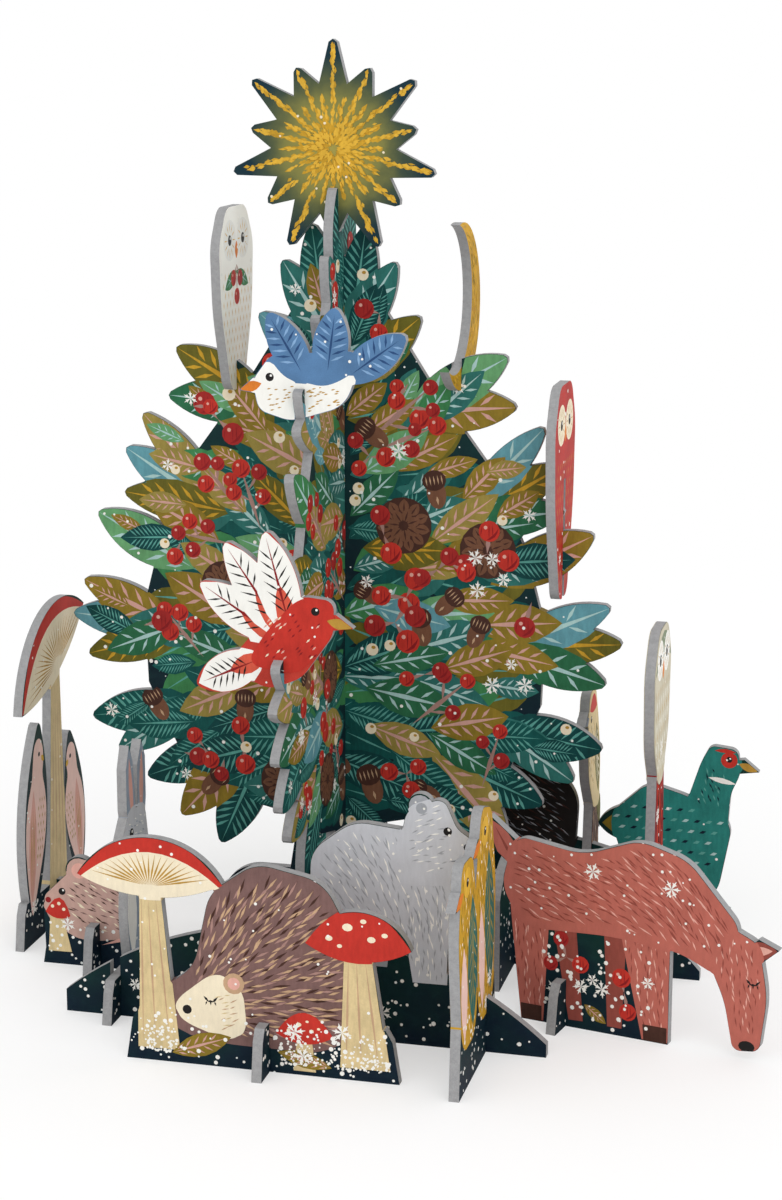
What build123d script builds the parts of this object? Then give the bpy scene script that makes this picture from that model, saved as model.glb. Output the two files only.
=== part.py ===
from build123d import *
import math
import os

# Slot-together woodland scene: a tree of two crossed boards with a ring of stand-up animals.
# Millimetres, +Z up, +X to the right, +Y to the back. The origin is on the table under the tree's axis.

# Board and fits
board = 3.0  # thickness of the grey board
slot_play = 0.2  # how much wider a slot is than the board
slot_width = board + slot_play
perch_depth = 5.0  # slot in the tree's edge under a perched piece
tip_round = 1.6  # how blunt a leaf tip is cut
corner_share = 0.29  # share of a side that the rounding of a corner takes up
cap_rim = 0.7  # how far down a toadstool's cap its rim lies, as a share of the cap's height

# Cross feet and banks
foot_height = 15.0
foot_seat = 7.5
foot_reach = 10.0
bank_slope = 4.0  # how far the ends of a foot or bank lean in
bank_cut = 3.5  # cut at its shoulders

# Tree
tree_height = 246.0  # tip of the cross panel
tree_seat = 0.47 * tree_height  # where the two panels' slots meet
trunk_half_width = 14.0
trunk_flare = 7.0
trunk_top = 44.0
leaf_length = 38.0
wide_half_width = 93.0
cross_half_width = 80.0
wide_foot = 48.0
cross_foot = 55.0
tree_foot_height = 21.0
tree_foot_slope = 12.0
tree_foot_round = 14.0

# Star
star_y = -6.0
star_rays = 14
star_long = 33.0
star_short = 27.0
star_inner = 20.0
star_slot = 7.5
star_blunt = 1.3  # half width of a ray's cut tip
star_nose = 0.9  # how far a ray's tip is rounded out

# Boards perched on the tree
owl_side = [(0.4, 0.0), (0.95, 0.44), (1.05, 0.8), (0.6, 1.0)]  # shares of half the width and of the height
pale_owl_x = -0.38172 * wide_half_width
pale_owl_height = 58.0
pale_owl_width = 34.0
pale_owl_hang = 6.0
moon_x = 0.4086 * wide_half_width
moon_radius = 26.0
moon_hang = 5.0
moon_bite_radius = 23.0
moon_bite_back = 9.5
moon_bite_rise = 3.0
red_owl_x = 0.76344 * wide_half_width
red_owl_height = 68.0
red_owl_width = 34.0
red_owl_hang = 38.0
blue_bird_y = -0.5625 * cross_half_width
red_bird_y = -0.875 * cross_half_width
bird_hang = 5.0

# Hedgehog, at the front
hedgehog_y = -115.0
hedgehog_left = -34.0
hedgehog_right = 48.0
hedgehog_bank = 16.0
hedgehog_foot_x = 8.0

# Bear, with the hare and the twin birds across its mound
bear_y = -86.0
bear_left = -64.0
bear_right = 85.0
bear_crest = 33.0
bear_left_end = 7.0
bear_right_end = 4.0
hare_x = -48.0
hare_seat = 8.0
twin_birds_x = 65.5
twin_birds_seat = 10.0

# Mouse, on the left
mouse_y = -50.0
mouse_left = -86.0
mouse_right = -54.0
mouse_bank = 15.0
mouse_foot_x = -68.0

# Tall toadstool, far left
mushroom_x = -97.0
mushroom_y = -14.0
mushroom_foot_left = -7.0
mushroom_foot_right = 19.0

# Deer, on the right, turned a little
deer_x = 95.0
deer_y = -63.0
deer_turn = -12.0
deer_foot_at = -10.0

# Low mound behind the deer, with its rounded cross piece and the tall owl
right_y = -15.0
right_left = 49.0
right_right = 121.0
right_crest = 26.0
right_crest_x = 70.0
right_left_end = 22.0
right_right_end = 3.0
right_foot_x = 60.0
right_foot_front = -26.0
right_foot_back = 10.0
right_foot_height = 39.0
right_foot_end = 30.0
right_seat = 12.0
tall_owl_x = 104.0
tall_owl_seat = 7.0

# Mound behind the tree, with the woodpecker across it
back_y = 24.0
back_left = 6.0
back_right = 126.0
back_crest = 33.0
back_crest_x = 50.0
back_left_end = 27.0
back_right_end = 10.0
woodpecker_x = 78.0
woodpecker_seat = 12.0

clear_height = 2 * tree_height  # slots are cut this long, past every edge

os.makedirs("parts", exist_ok=True)


def facing(x, y, turn=0):
    """Plane of a board that faces the front, its own x axis running to the right."""
    angle = math.radians(turn)
    return Plane((x, y, 0), x_dir=(math.cos(angle), math.sin(angle), 0),
                 z_dir=(math.sin(angle), -math.cos(angle), 0))


def crossing(x, y, turn=0):
    """Plane of a board that stands across, its own x axis running to the back."""
    angle = math.radians(turn)
    return Plane((x, y, 0), x_dir=(-math.sin(angle), math.cos(angle), 0),
                 z_dir=(math.cos(angle), math.sin(angle), 0))


def leaf(root, tip, width):
    """Leaf lobe: two side arcs from the root, cut blunt just before they would meet."""
    root = Vector(*root)
    tip = Vector(*tip)
    middle = (root + tip) / 2
    half_length = (tip - root).length / 2
    along = (tip - root).normalized()
    across = Vector(-along.Y, along.X)
    side_radius = (half_length**2 + (width / 2) ** 2) / width
    sink = side_radius - width / 2
    round_at = math.sqrt((side_radius - tip_round) ** 2 - sink**2)
    touch = side_radius / (side_radius - tip_round)
    shoulder = middle + along * round_at * touch
    shoulder_out = across * (sink * touch - sink)
    point = middle + along * (round_at + tip_round)
    with BuildLine() as edge:
        ThreePointArc(root, middle + across * width / 2, shoulder + shoulder_out)
        Polyline(shoulder + shoulder_out, point, shoulder - shoulder_out)
        ThreePointArc(shoulder - shoulder_out, middle - across * width / 2, root)
    make_face(edge.edges())


def rounded(*points):
    """Closed outline whose corners are rounded by arcs as large as their sides allow."""
    corners = [Vector(*point) for point in points]
    ends = []
    with BuildLine() as edge:
        for before, corner, after in zip(corners[-1:] + corners, corners, corners[1:] + corners[:1]):
            back, ahead = before - corner, after - corner
            reach = corner_share * min(back.length, ahead.length)
            bend = math.radians(180 - back.get_angle(ahead))
            inward = (back.normalized() + ahead.normalized()).normalized()
            start = corner + back.normalized() * reach
            end = corner + ahead.normalized() * reach
            ThreePointArc(start, corner + inward * reach * math.tan(bend / 4), end)
            ends.append((start, end))
        for (_, end), (start, _) in zip(ends, ends[1:] + ends[:1]):
            Line(end, start)
    make_face(edge.edges())


def patch(*points):
    """Straight-sided piece of an outline."""
    Polygon(*points, align=None)


def kite(root, tip, width):
    """Small pointed lobe with straight sides: a beak, an ear or a tail."""
    root = Vector(*root)
    tip = Vector(*tip)
    middle = (root + tip) / 2
    across = (tip - root).normalized().rotate(Axis.Z, 90) * width / 2
    patch(root, middle + across, tip, middle - across)


def disc(at, radius):
    """Round lobe."""
    with Locations(at):
        Circle(radius)


def mound(left, right, crest, left_end, right_end):
    """Flat-bottomed mound with upright ends and one arched top through its crest."""
    with BuildLine() as edge:
        Line((left, 0), (right, 0))
        Line((right, 0), (right, right_end))
        ThreePointArc((right, right_end), crest, (left, left_end))
        Line((left, left_end), (left, 0))
    make_face(edge.edges())


def bank(left, right, height):
    """Flat-topped bank with sloping ends and cut shoulders."""
    patch((left, 0), (right, 0), (right - bank_slope / 2, height - bank_cut),
          (right - bank_slope, height), (left + bank_slope, height),
          (left + bank_slope / 2, height - bank_cut))


def toadstool(foot, top, cap_width, cap_height, stem_width):
    """Toadstool: a stem that swells to its foot, under a domed cap with a flatter underside."""
    x, z = top
    rim = z - cap_height * cap_rim
    half_cap = cap_width / 2
    half_stem = stem_width / 2
    patch((foot[0] - stem_width, foot[1]), (foot[0] + stem_width, foot[1]),
          (x + half_stem, rim), (x - half_stem, rim))
    with BuildLine() as edge:
        ThreePointArc((x - half_cap, rim), (x, z), (x + half_cap, rim))
        ThreePointArc((x + half_cap, rim), (x, z - cap_height), (x - half_cap, rim))
    make_face(edge.edges())


def slot_above(at, seat):
    """Slot that is open at the top and ends at its seat."""
    with Locations((at, seat)):
        Rectangle(slot_width, clear_height, align=(Align.CENTER, Align.MIN), mode=Mode.SUBTRACT)


def slot_below(at, seat):
    """Slot that is open at the bottom and ends at its seat."""
    with Locations((at, seat)):
        Rectangle(slot_width, clear_height, align=(Align.CENTER, Align.MAX), mode=Mode.SUBTRACT)


def top_edge(outline, at):
    """Height of an outline's upper edge over the width of a slot."""
    strip = Pos(at, 0) * Rectangle(slot_width, 2 * clear_height, mode=Mode.PRIVATE)
    return (outline.sketch_local & strip).bounding_box().max.Y


def tree_half(side, half_width, core, rows):
    """One half of a tree panel: a core, and leaf lobes by tip, width and angle above the horizontal.

    Points are shares of the half width and of the tree's height, leaf widths are shares of a leaf's length.
    """
    patch(*[(side * half_width * out, tree_height * up) for out, up in core])
    for out, up, width, angle in rows:
        tip_x, tip_z = half_width * out, tree_height * up
        run = leaf_length * math.cos(math.radians(angle))
        rise = leaf_length * math.sin(math.radians(angle))
        leaf((side * (tip_x - run), tip_z - rise), (side * tip_x, tip_z), leaf_length * width)


def tree_foot(half_width):
    """Trunk that flares into a low bank."""
    patch((-trunk_half_width, trunk_top), (trunk_half_width, trunk_top),
          (trunk_half_width + trunk_flare, 0), (-trunk_half_width - trunk_flare, 0))
    with BuildLine() as edge:
        FilletPolyline((-half_width, 0), (-half_width + tree_foot_slope, tree_foot_height),
                       (half_width - tree_foot_slope, tree_foot_height), (half_width, 0),
                       radius=tree_foot_round)
        Line((half_width, 0), (-half_width, 0))
    make_face(edge.edges())


def save(piece, label):
    """Label a finished board and write it to its own file."""
    piece.part.label = label
    export_step(piece.part, f"parts/{label}.step")


def cross_foot_board(label, plane, left=-foot_reach, right=foot_reach):
    """Small foot with a slot open at the top, pushed up into a standing board."""
    with BuildPart() as foot:
        with BuildSketch(plane):
            bank(left, right, foot_height)
            slot_above(0, foot_seat)
        extrude(amount=board / 2, both=True)
    save(foot, label)


# Wide panel: leaf tips by reach and height, with each leaf's width and angle in degrees
wide_rows = [
    (0.097, 0.955, 0.32, 82), (0.204, 0.907, 0.34, 58), (0.29, 0.837, 0.37, 40),
    (0.591, 0.789, 0.37, 30), (0.624, 0.724, 0.37, 4), (0.72, 0.703, 0.29, 47),
    (0.785, 0.654, 0.34, 32), (0.796, 0.593, 0.34, 8), (0.892, 0.565, 0.39, 28),
    (0.957, 0.472, 0.32, 24), (1, 0.423, 0.34, 4), (0.946, 0.366, 0.34, -16), (0.935, 0.28, 0.39, -8),
    (0.839, 0.232, 0.34, -34), (0.731, 0.199, 0.39, -22), (0.602, 0.146, 0.39, -48),
    (0.452, 0.11, 0.39, -66),
]
wide_core = [
    (0, 0.919), (0.129, 0.862), (0.323, 0.748), (0.516, 0.65), (0.645, 0.545), (0.72, 0.439),
    (0.71, 0.333), (0.602, 0.244), (0.387, 0.179), (0, 0.146),
]

with BuildPart() as tree_wide_panel:
    with BuildSketch(facing(0, 0)) as wide_outline:
        tree_half(-1, wide_half_width, wide_core, wide_rows)
        tree_half(1, wide_half_width, wide_core, wide_rows)
        tree_foot(wide_foot)
        pale_owl_seat = top_edge(wide_outline, pale_owl_x) - perch_depth
        moon_seat = top_edge(wide_outline, moon_x) - perch_depth
        red_owl_seat = top_edge(wide_outline, red_owl_x) - perch_depth
        slot_above(pale_owl_x, pale_owl_seat)
        slot_above(moon_x, moon_seat)
        slot_above(red_owl_x, red_owl_seat)
        slot_above(0, tree_seat)
    extrude(amount=board / 2, both=True)
save(tree_wide_panel, "tree_wide_panel")

# Cross panel, a little narrower: its tip carries the star, and its front edge the two birds
cross_rows = [
    (0.1, 1, 0.42, 84), (0.237, 0.919, 0.34, 58), (0.375, 0.846, 0.37, 38), (0.625, 0.764, 0.39, 34),
    (0.65, 0.715, 0.37, 6), (0.75, 0.667, 0.34, 36), (0.825, 0.557, 0.34, 20), (0.95, 0.443, 0.42, 18),
    (1, 0.39, 0.34, 0), (0.975, 0.325, 0.37, -14), (0.938, 0.26, 0.37, -26), (0.825, 0.211, 0.37, -24),
    (0.637, 0.142, 0.39, -52),
]
cross_core = [
    (0, 0.935), (0.15, 0.894), (0.35, 0.764), (0.525, 0.65), (0.65, 0.537), (0.725, 0.439),
    (0.725, 0.333), (0.625, 0.244), (0.4, 0.179), (0, 0.146),
]

with BuildPart() as tree_cross_panel:
    with BuildSketch(crossing(0, 0)) as cross_outline:
        tree_half(-1, cross_half_width, cross_core, cross_rows)
        tree_half(1, cross_half_width, cross_core, cross_rows)
        tree_foot(cross_foot)
        star_seat = top_edge(cross_outline, star_y) - star_slot
        blue_bird_seat = top_edge(cross_outline, blue_bird_y) - perch_depth
        red_bird_seat = top_edge(cross_outline, red_bird_y) - perch_depth
        slot_above(star_y, star_seat)
        slot_above(blue_bird_y, blue_bird_seat)
        slot_above(red_bird_y, red_bird_seat)
        slot_below(0, tree_seat)
    extrude(amount=board / 2, both=True)
save(tree_cross_panel, "tree_cross_panel")

# Star with long and short rays by turns, its lowest ray slotted over the tip of the tree
star_middle = star_seat - star_slot + star_short
with BuildPart() as star_topper:
    with BuildSketch(facing(0, star_y)):
        star_points = []
        for ray in range(star_rays):
            reach = star_short if ray % 2 else star_long
            ray_tip = [(reach - star_nose, -star_blunt), (reach, 0), (reach - star_nose, star_blunt)]
            for out, sideways in ray_tip:
                star_points.append(Vector(out, sideways).rotate(Axis.Z, 90 + ray * 360 / star_rays))
            star_points.append(Vector(star_inner, 0).rotate(Axis.Z, 90 + (ray + 0.5) * 360 / star_rays))
        patch(*[(point.X, star_middle + point.Y) for point in star_points])
        slot_below(0, star_seat)
    extrude(amount=board / 2, both=True)
save(star_topper, "star_topper")


def perched_owl(label, x, seat, hang, height, width):
    """Owl that straddles the tree's edge: a broad head and breast that taper to the tail."""
    foot = seat - hang
    half = width / 2
    with BuildPart() as owl:
        with BuildSketch(crossing(x, 0)):
            right_side = [(half * across, foot + height * up) for across, up in owl_side]
            left_side = [(-across, up) for across, up in reversed(right_side)]
            rounded(*right_side, *left_side)
            slot_below(0, seat)
        extrude(amount=board / 2, both=True)
    save(owl, label)


perched_owl("pale_owl", pale_owl_x, pale_owl_seat, pale_owl_hang, pale_owl_height, pale_owl_width)
perched_owl("red_owl", red_owl_x, red_owl_seat, red_owl_hang, red_owl_height, red_owl_width)

# Crescent moon, open to the front
moon_middle = moon_seat - moon_hang + moon_radius
with BuildPart() as crescent_moon:
    with BuildSketch(crossing(moon_x, 0)):
        disc((0, moon_middle), moon_radius)
        with Locations((-moon_bite_back, moon_middle + moon_bite_rise)):
            Circle(moon_bite_radius, mode=Mode.SUBTRACT)
        slot_below(0, moon_seat)
    extrude(amount=board / 2, both=True)
save(crescent_moon, "crescent_moon")

# Blue bird with lifted wings, facing left
with BuildPart() as blue_bird:
    with BuildSketch(facing(0, blue_bird_y)):
        low = blue_bird_seat - bird_hang
        rounded((-15, low + 12), (-9, low + 20), (20, low + 22), (14, low + 5), (-3, low), (-13, low + 3))
        kite((-9, low + 12), (-19, low + 9), 5)
        leaf((3, low + 11), (-10, low + 33), 11)
        leaf((8, low + 11), (11, low + 35), 11)
        leaf((12, low + 12), (33, low + 27), 11)
        slot_below(0, blue_bird_seat)
    extrude(amount=board / 2, both=True)
save(blue_bird, "blue_bird")

# Red bird with a spread wing, facing right
with BuildPart() as red_bird:
    with BuildSketch(facing(0, red_bird_y)):
        low = red_bird_seat - bird_hang
        rounded((-17, low + 6), (-7, low + 18), (7, low + 29), (17, low + 28), (17, low + 18),
                (7, low + 4), (-3, low))
        kite((11, low + 23), (23, low + 20), 5)
        leaf((-4, low + 10), (-26, low), 12)
        leaf((3, low + 14), (-25, low + 32), 12)
        leaf((4, low + 14), (-17, low + 45), 12)
        leaf((5, low + 14), (-4, low + 49), 12)
        slot_below(0, red_bird_seat)
    extrude(amount=board / 2, both=True)
save(red_bird, "red_bird")

# Hedgehog between two toadstools
with BuildPart() as hedgehog_mound:
    with BuildSketch(facing(0, hedgehog_y)):
        bank(hedgehog_left, hedgehog_right, hedgehog_bank)
        rounded((-26, 20), (-13, 30), (-8, 53), (6, 63), (26, 59), (38, 36), (32, 8), (-10, 8), (-24, 14))
        toadstool((-24, 4), (-26, 68), 44, 18, 6)
        toadstool((38, 4), (36, 51), 31, 15, 7)
        slot_below(hedgehog_foot_x, foot_seat)
    extrude(amount=board / 2, both=True)
save(hedgehog_mound, "hedgehog_mound")

cross_foot_board("hedgehog_foot", crossing(hedgehog_foot_x, hedgehog_y))

# Bear on its long mound
with BuildPart() as bear_mound:
    with BuildSketch(facing(0, bear_y)):
        bear_middle = (bear_left + bear_right) / 2
        mound(bear_left, bear_right, (bear_middle, bear_crest), bear_left_end, bear_right_end)
        rounded((13, 34), (14, 58), (27, 68), (47, 66), (58, 54), (57, 34), (40, 29), (24, 29))
        rounded((40, 58), (43, 73), (54, 77), (58, 68), (64, 64), (63, 56), (54, 51), (42, 50))
        disc((47, 74), 3.8)
        patch((15, 48), (14, 22), (25, 22), (31, 40))
        patch((28, 40), (29, 24), (37, 24), (39, 40))
        patch((41, 42), (45, 20), (55, 20), (56.5, 48))
        slot_above(hare_x, hare_seat)
        slot_above(twin_birds_x, twin_birds_seat)
    extrude(amount=board / 2, both=True)
save(bear_mound, "bear_mound")

# Hare sitting up, its forefeet over the bear's mound
with BuildPart() as hare_stand:
    with BuildSketch(crossing(hare_x, bear_y)):
        bank(-10, 33, 13)
        rounded((35, 6), (35, 32), (23, 52), (9, 48), (6, 28), (10, 6))
        rounded((27, 46), (24, 60), (10, 62), (0, 50), (6, 42), (18, 40))
        patch((12, 48), (8, 62), (8, 75), (11, 82), (14, 76), (17, 48))
        patch((17, 48), (18, 74), (22, 81), (25, 75), (25, 62), (22, 48))
        slot_below(0, hare_seat)
    extrude(amount=board / 2, both=True)
save(hare_stand, "hare_stand")

# Two small birds side by side on a bank
with BuildPart() as twin_birds_stand:
    with BuildSketch(crossing(twin_birds_x, bear_y)):
        bank(-38, 12, 24)
        rounded((-16, 12), (-14, 46), (-22, 68), (-36, 69), (-40, 48), (-34, 12))
        kite((-31, 61), (-44, 58), 5)
        rounded((8, 12), (11, 48), (4, 74), (-10, 78), (-18, 58), (-12, 12))
        kite((-8, 69), (-22, 66), 5)
        slot_below(0, twin_birds_seat)
    extrude(amount=board / 2, both=True)
save(twin_birds_stand, "twin_birds_stand")

# Mouse beside a small toadstool
with BuildPart() as mouse_mound:
    with BuildSketch(facing(0, mouse_y)):
        bank(mouse_left, mouse_right, mouse_bank)
        rounded((-86, 22), (-76, 32), (-64, 39), (-52, 34), (-52, 12), (-72, 9), (-82, 14))
        disc((-73, 32), 4.6)
        patch((-85, 4), (-85.5, 20), (-82, 24), (-78, 22), (-72, 4))
        slot_below(mouse_foot_x, foot_seat)
    extrude(amount=board / 2, both=True)
save(mouse_mound, "mouse_mound")

cross_foot_board("mouse_foot", crossing(mouse_foot_x, mouse_y))

# Tall toadstool with a tilted cap, between two leaning birds
with BuildPart() as tall_mushroom_stand:
    with BuildSketch(crossing(mushroom_x, mushroom_y)):
        bank(-31, 28, 15)
        patch((-8, 4), (9, 4), (7, 92), (0, 90))
        with BuildLine():
            ThreePointArc((-26, 78), (-5, 106), (31, 103))
            ThreePointArc((31, 103), (6, 85), (-26, 78))
        make_face()
        leaf((-22, 6), (-12, 74), 19)
        leaf((21, 6), (14, 64), 18)
        slot_below(0, foot_seat)
    extrude(amount=board / 2, both=True)
save(tall_mushroom_stand, "tall_mushroom_stand")

cross_foot_board("mushroom_foot", facing(mushroom_x, mushroom_y), mushroom_foot_left, mushroom_foot_right)

# Grazing deer, its legs joined by a ground panel
deer_plane = facing(deer_x, deer_y, deer_turn)
with BuildPart() as deer_panel:
    with BuildSketch(deer_plane):
        rounded((-30, 42), (-26, 58), (-4, 55), (14, 62), (29, 58), (46, 39), (39, 24), (28, 29), (8, 32),
                (-24, 30))
        rounded((35, 30), (42, 40), (51, 36), (54, 20), (52, 3), (44, 2), (41, 17))
        kite((46, 33), (57, 35), 7)
        kite((-24, 46), (-34, 63), 8)
        patch((-28, 46), (-26, 26), (-23, 0), (-15, 0), (-12, 40))
        patch((6, 40), (16, 0), (24, 0), (24, 38))
        patch((-16, 0), (18, 0), (16, 36), (-16, 38))
        slot_below(deer_foot_at, foot_seat)
    extrude(amount=board / 2, both=True)
save(deer_panel, "deer_panel")

deer_foot_place = deer_plane.from_local_coords((deer_foot_at, 0, 0))
cross_foot_board("deer_foot", crossing(deer_foot_place.X, deer_foot_place.Y, deer_turn))

# Low mound behind the deer
with BuildPart() as right_mound:
    with BuildSketch(facing(0, right_y)):
        mound(right_left, right_right, (right_crest_x, right_crest), right_left_end, right_right_end)
        slot_above(right_foot_x, right_seat)
        slot_above(tall_owl_x, tall_owl_seat)
    extrude(amount=board / 2, both=True)
save(right_mound, "right_mound")

# Rounded cross piece of that mound
with BuildPart() as right_foot:
    with BuildSketch(crossing(right_foot_x, right_y)):
        right_foot_middle = (right_foot_front + right_foot_back) / 2
        mound(right_foot_front, right_foot_back, (right_foot_middle, right_foot_height),
              right_foot_end, right_foot_end)
        slot_below(0, right_seat)
    extrude(amount=board / 2, both=True)
save(right_foot, "right_foot")

# Tall owl on a post
with BuildPart() as tall_owl_stand:
    with BuildSketch(crossing(tall_owl_x, right_y)):
        bank(-9, 28, 15)
        patch((-3, 4), (23, 4), (17, 74), (2, 74))
        rounded((4, 62), (14, 62), (25, 76), (27, 100), (18, 112), (0, 112), (-9, 100), (-7, 76))
        slot_below(0, tall_owl_seat)
    extrude(amount=board / 2, both=True)
save(tall_owl_stand, "tall_owl_stand")

# Long mound behind the tree, with a badger and a pheasant
with BuildPart() as back_mound:
    with BuildSketch(facing(0, back_y)):
        mound(back_left, back_right, (back_crest_x, back_crest), back_left_end, back_right_end)
        rounded((74, 26), (75, 46), (62, 60), (48, 58), (38, 49), (26, 43), (28, 35), (42, 30), (56, 24))
        rounded((85, 40), (98, 52), (112, 48), (126, 40), (121, 12), (94, 14))
        rounded((110, 44), (115, 60), (118, 66), (127, 65), (128, 57), (125, 50), (124, 34))
        kite((123, 61), (134, 58), 5)
        leaf((102, 38), (81.5, 37), 12)
        slot_above(woodpecker_x, woodpecker_seat)
    extrude(amount=board / 2, both=True)
save(back_mound, "back_mound")

# Woodpecker on a stump
with BuildPart() as woodpecker_stand:
    with BuildSketch(crossing(woodpecker_x, back_y)):
        bank(-17, 16, 16)
        patch((-5, 4), (14, 4), (11, 56), (1, 56))
        rounded((12, 40), (13, 56), (7, 72), (1, 83), (-10, 83), (-13, 71), (-10, 54), (0, 42))
        kite((-6, 76), (-18, 74), 5)
        kite((8, 48), (15, 30), 8)
        slot_below(0, woodpecker_seat)
    extrude(amount=board / 2, both=True)
save(woodpecker_stand, "woodpecker_stand")
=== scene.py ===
import math
import random

import bmesh
import bpy
from mathutils import Matrix, Vector
from mathutils.bvhtree import BVHTree


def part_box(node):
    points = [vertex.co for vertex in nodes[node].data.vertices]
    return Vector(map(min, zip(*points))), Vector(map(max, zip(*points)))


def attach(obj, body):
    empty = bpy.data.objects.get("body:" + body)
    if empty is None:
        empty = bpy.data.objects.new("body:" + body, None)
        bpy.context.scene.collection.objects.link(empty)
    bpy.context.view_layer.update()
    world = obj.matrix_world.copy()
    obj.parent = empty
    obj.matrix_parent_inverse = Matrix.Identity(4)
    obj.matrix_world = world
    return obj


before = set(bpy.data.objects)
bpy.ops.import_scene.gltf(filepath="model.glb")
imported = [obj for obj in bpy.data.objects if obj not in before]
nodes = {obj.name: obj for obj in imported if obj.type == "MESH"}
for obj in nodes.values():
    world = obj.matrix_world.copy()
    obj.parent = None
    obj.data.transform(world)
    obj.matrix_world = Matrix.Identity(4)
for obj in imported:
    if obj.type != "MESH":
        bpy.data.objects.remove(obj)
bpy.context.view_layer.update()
SEED = 24
draw = random.Random(SEED)

# Prints are drawn in millimetres in each board's own plane, from the same values as the boards' outlines
MM = 0.001
BOARD = 3.0
INK_STEP = 0.014  # each shape lies this much above the ink under it
INK_GAP = 0.005  # veins and marks lie this much above their own leaf or berry
INK_SPREAD = 0.001  # overlapping shapes of one ink lie only this far apart
GRID = 0.9  # squares in which a print notes what already lies there
CUT_MARGIN = 0.35  # print that is scattered keeps this far inside the cut edge
EDGE_BLUR = 0.006  # the ground's colour ends this far round the cut edge
BLEED = 0.8  # fields of colour run this far past their outline
TRIM = 0.15  # what runs off the board is trimmed this far inside the cut edge
FIRST_STEP, HALVINGS = 1 / 16, 7  # search for the cut edge on the way out from a shape's middle
PIECES_INSIDE, PIECES_AT_EDGE = 0.5, 2.5  # pieces to the millimetre in a trimmed outline
CORNER_PASSES = 4  # times that the pieces round an inner corner are cut finer
CORNER_CUT, CORNER_SEGMENTS = 29.0, 5  # share of a side, in percent, that a rounded corner takes
FINE_SNOW = (0.25, 0.5)  # least and largest radius of fine snow dots

# Paper and ink
WASH_SCALE = 110.0
TOOTH_SCALE = 2600.0
BRUSH_STRETCH = (900.0, 900.0, 240.0)
LAYER_SCALE = 700.0
PAPER_ROUGHNESS = 0.5
PAPER_SHINE = 0.12
PAPER_RELIEF, RELIEF_DEPTH = 0.25, 0.00004

# Ribs of a leaf: widths of the rib and the side ribs, their lean and their reach, as shares of its width
LEAF_VEINS = (0.12, 0.085, 0.2, 0.78)
FIR_NEEDLES = (0.07, 0.06, 0.1, 0.92)

# Tree: each lobe has its place as shares of half the width and of the height, its width and its angle
TREE_HEIGHT = 246.0
LEAF_LENGTH = 38.0
FOOT_LEAN, LEAN_RISE = -45.0, 115.0  # leaves hang at the foot of the tree and rise towards its top
TWIGS, ROSETTES, ACORNS, CLUSTERS, PALE_BERRIES = 24, 11, 34, 30, 44  # tries at a free place on a panel
WIDE_HALF_WIDTH = 93.0
CROSS_HALF_WIDTH = 80.0
WIDE_LOBES = [
    (0.097, 0.955, 0.32, 82), (0.204, 0.907, 0.34, 58), (0.29, 0.837, 0.37, 40),
    (0.591, 0.789, 0.37, 30), (0.624, 0.724, 0.37, 4), (0.72, 0.703, 0.29, 47),
    (0.785, 0.654, 0.34, 32), (0.796, 0.593, 0.34, 8), (0.892, 0.565, 0.39, 28),
    (0.957, 0.472, 0.32, 24), (1, 0.423, 0.34, 4), (0.946, 0.366, 0.34, -16), (0.935, 0.28, 0.39, -8),
    (0.839, 0.232, 0.34, -34), (0.731, 0.199, 0.39, -22), (0.602, 0.146, 0.39, -48),
    (0.452, 0.11, 0.39, -66),
]
CROSS_LOBES = [
    (0.1, 1, 0.42, 84), (0.237, 0.919, 0.34, 58), (0.375, 0.846, 0.37, 38), (0.625, 0.764, 0.39, 34),
    (0.65, 0.715, 0.37, 6), (0.75, 0.667, 0.34, 36), (0.825, 0.557, 0.34, 20), (0.95, 0.443, 0.42, 18),
    (1, 0.39, 0.34, 0), (0.975, 0.325, 0.37, -14), (0.938, 0.26, 0.37, -26), (0.825, 0.211, 0.37, -24),
    (0.637, 0.142, 0.39, -52),
]

# Places and sizes of the boards
STAR_Y, STAR_RADIUS = -6.0, 33.0
PALE_OWL_X, PALE_OWL_HEIGHT = -35.5, 58.0
MOON_X, MOON_RADIUS = 38.0, 26.0
RED_OWL_X, RED_OWL_HEIGHT = 71.0, 68.0
OWL_WIDTH = 34.0
BLUE_BIRD_Y, BLUE_BIRD_TOP = -45.0, 34.38
RED_BIRD_Y, RED_BIRD_TOP = -70.0, 47.81
HEDGEHOG_Y = -115.0
HEDGEHOG_FOOT_X = 8.0
BEAR_Y = -86.0
HARE_X = -48.0
TWIN_BIRDS_X = 65.5
MOUSE_Y = -50.0
MOUSE_FOOT_X = -68.0
MUSHROOM_X, MUSHROOM_Y = -97.0, -14.0
DEER_X, DEER_Y, DEER_TURN = 95.0, -63.0, -12.0
DEER_FOOT_AT = -10.0
RIGHT_Y = -15.0
RIGHT_FOOT_X = 60.0
TALL_OWL_X = 104.0
BACK_Y = 24.0
WOODPECKER_X = 78.0
FOOT_HEIGHT = 15.0

# Camera and light
IMAGE_HEIGHT = 1200
FOCAL_PIXELS = 2472
SENSOR = 36.0
CAMERA_AZIMUTH = 14.0
CAMERA_ELEVATION = 13.0
CAMERA_DISTANCE = 0.8
AIM = (0.0155, 0.0039, 0.113)
WHITE_LIGHT = (1.0, 1.0, 1.0, 1.0)
FLOOR_SIZE = 6.0
FLOOR_GLOW = 0.35  # share of plain white that the camera sees in the floor under the object
GLOW_RISE = 0.9  # how fast that share grows with the distance, to the metre
AMBIENT = 0.95
LAMPS = [("left_lamp", (-0.9, -1.5, 1.5), 1.4, 2.0), ("right_lamp", (0.9, -1.2, 1.6), 1.2, 7.0)]


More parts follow.
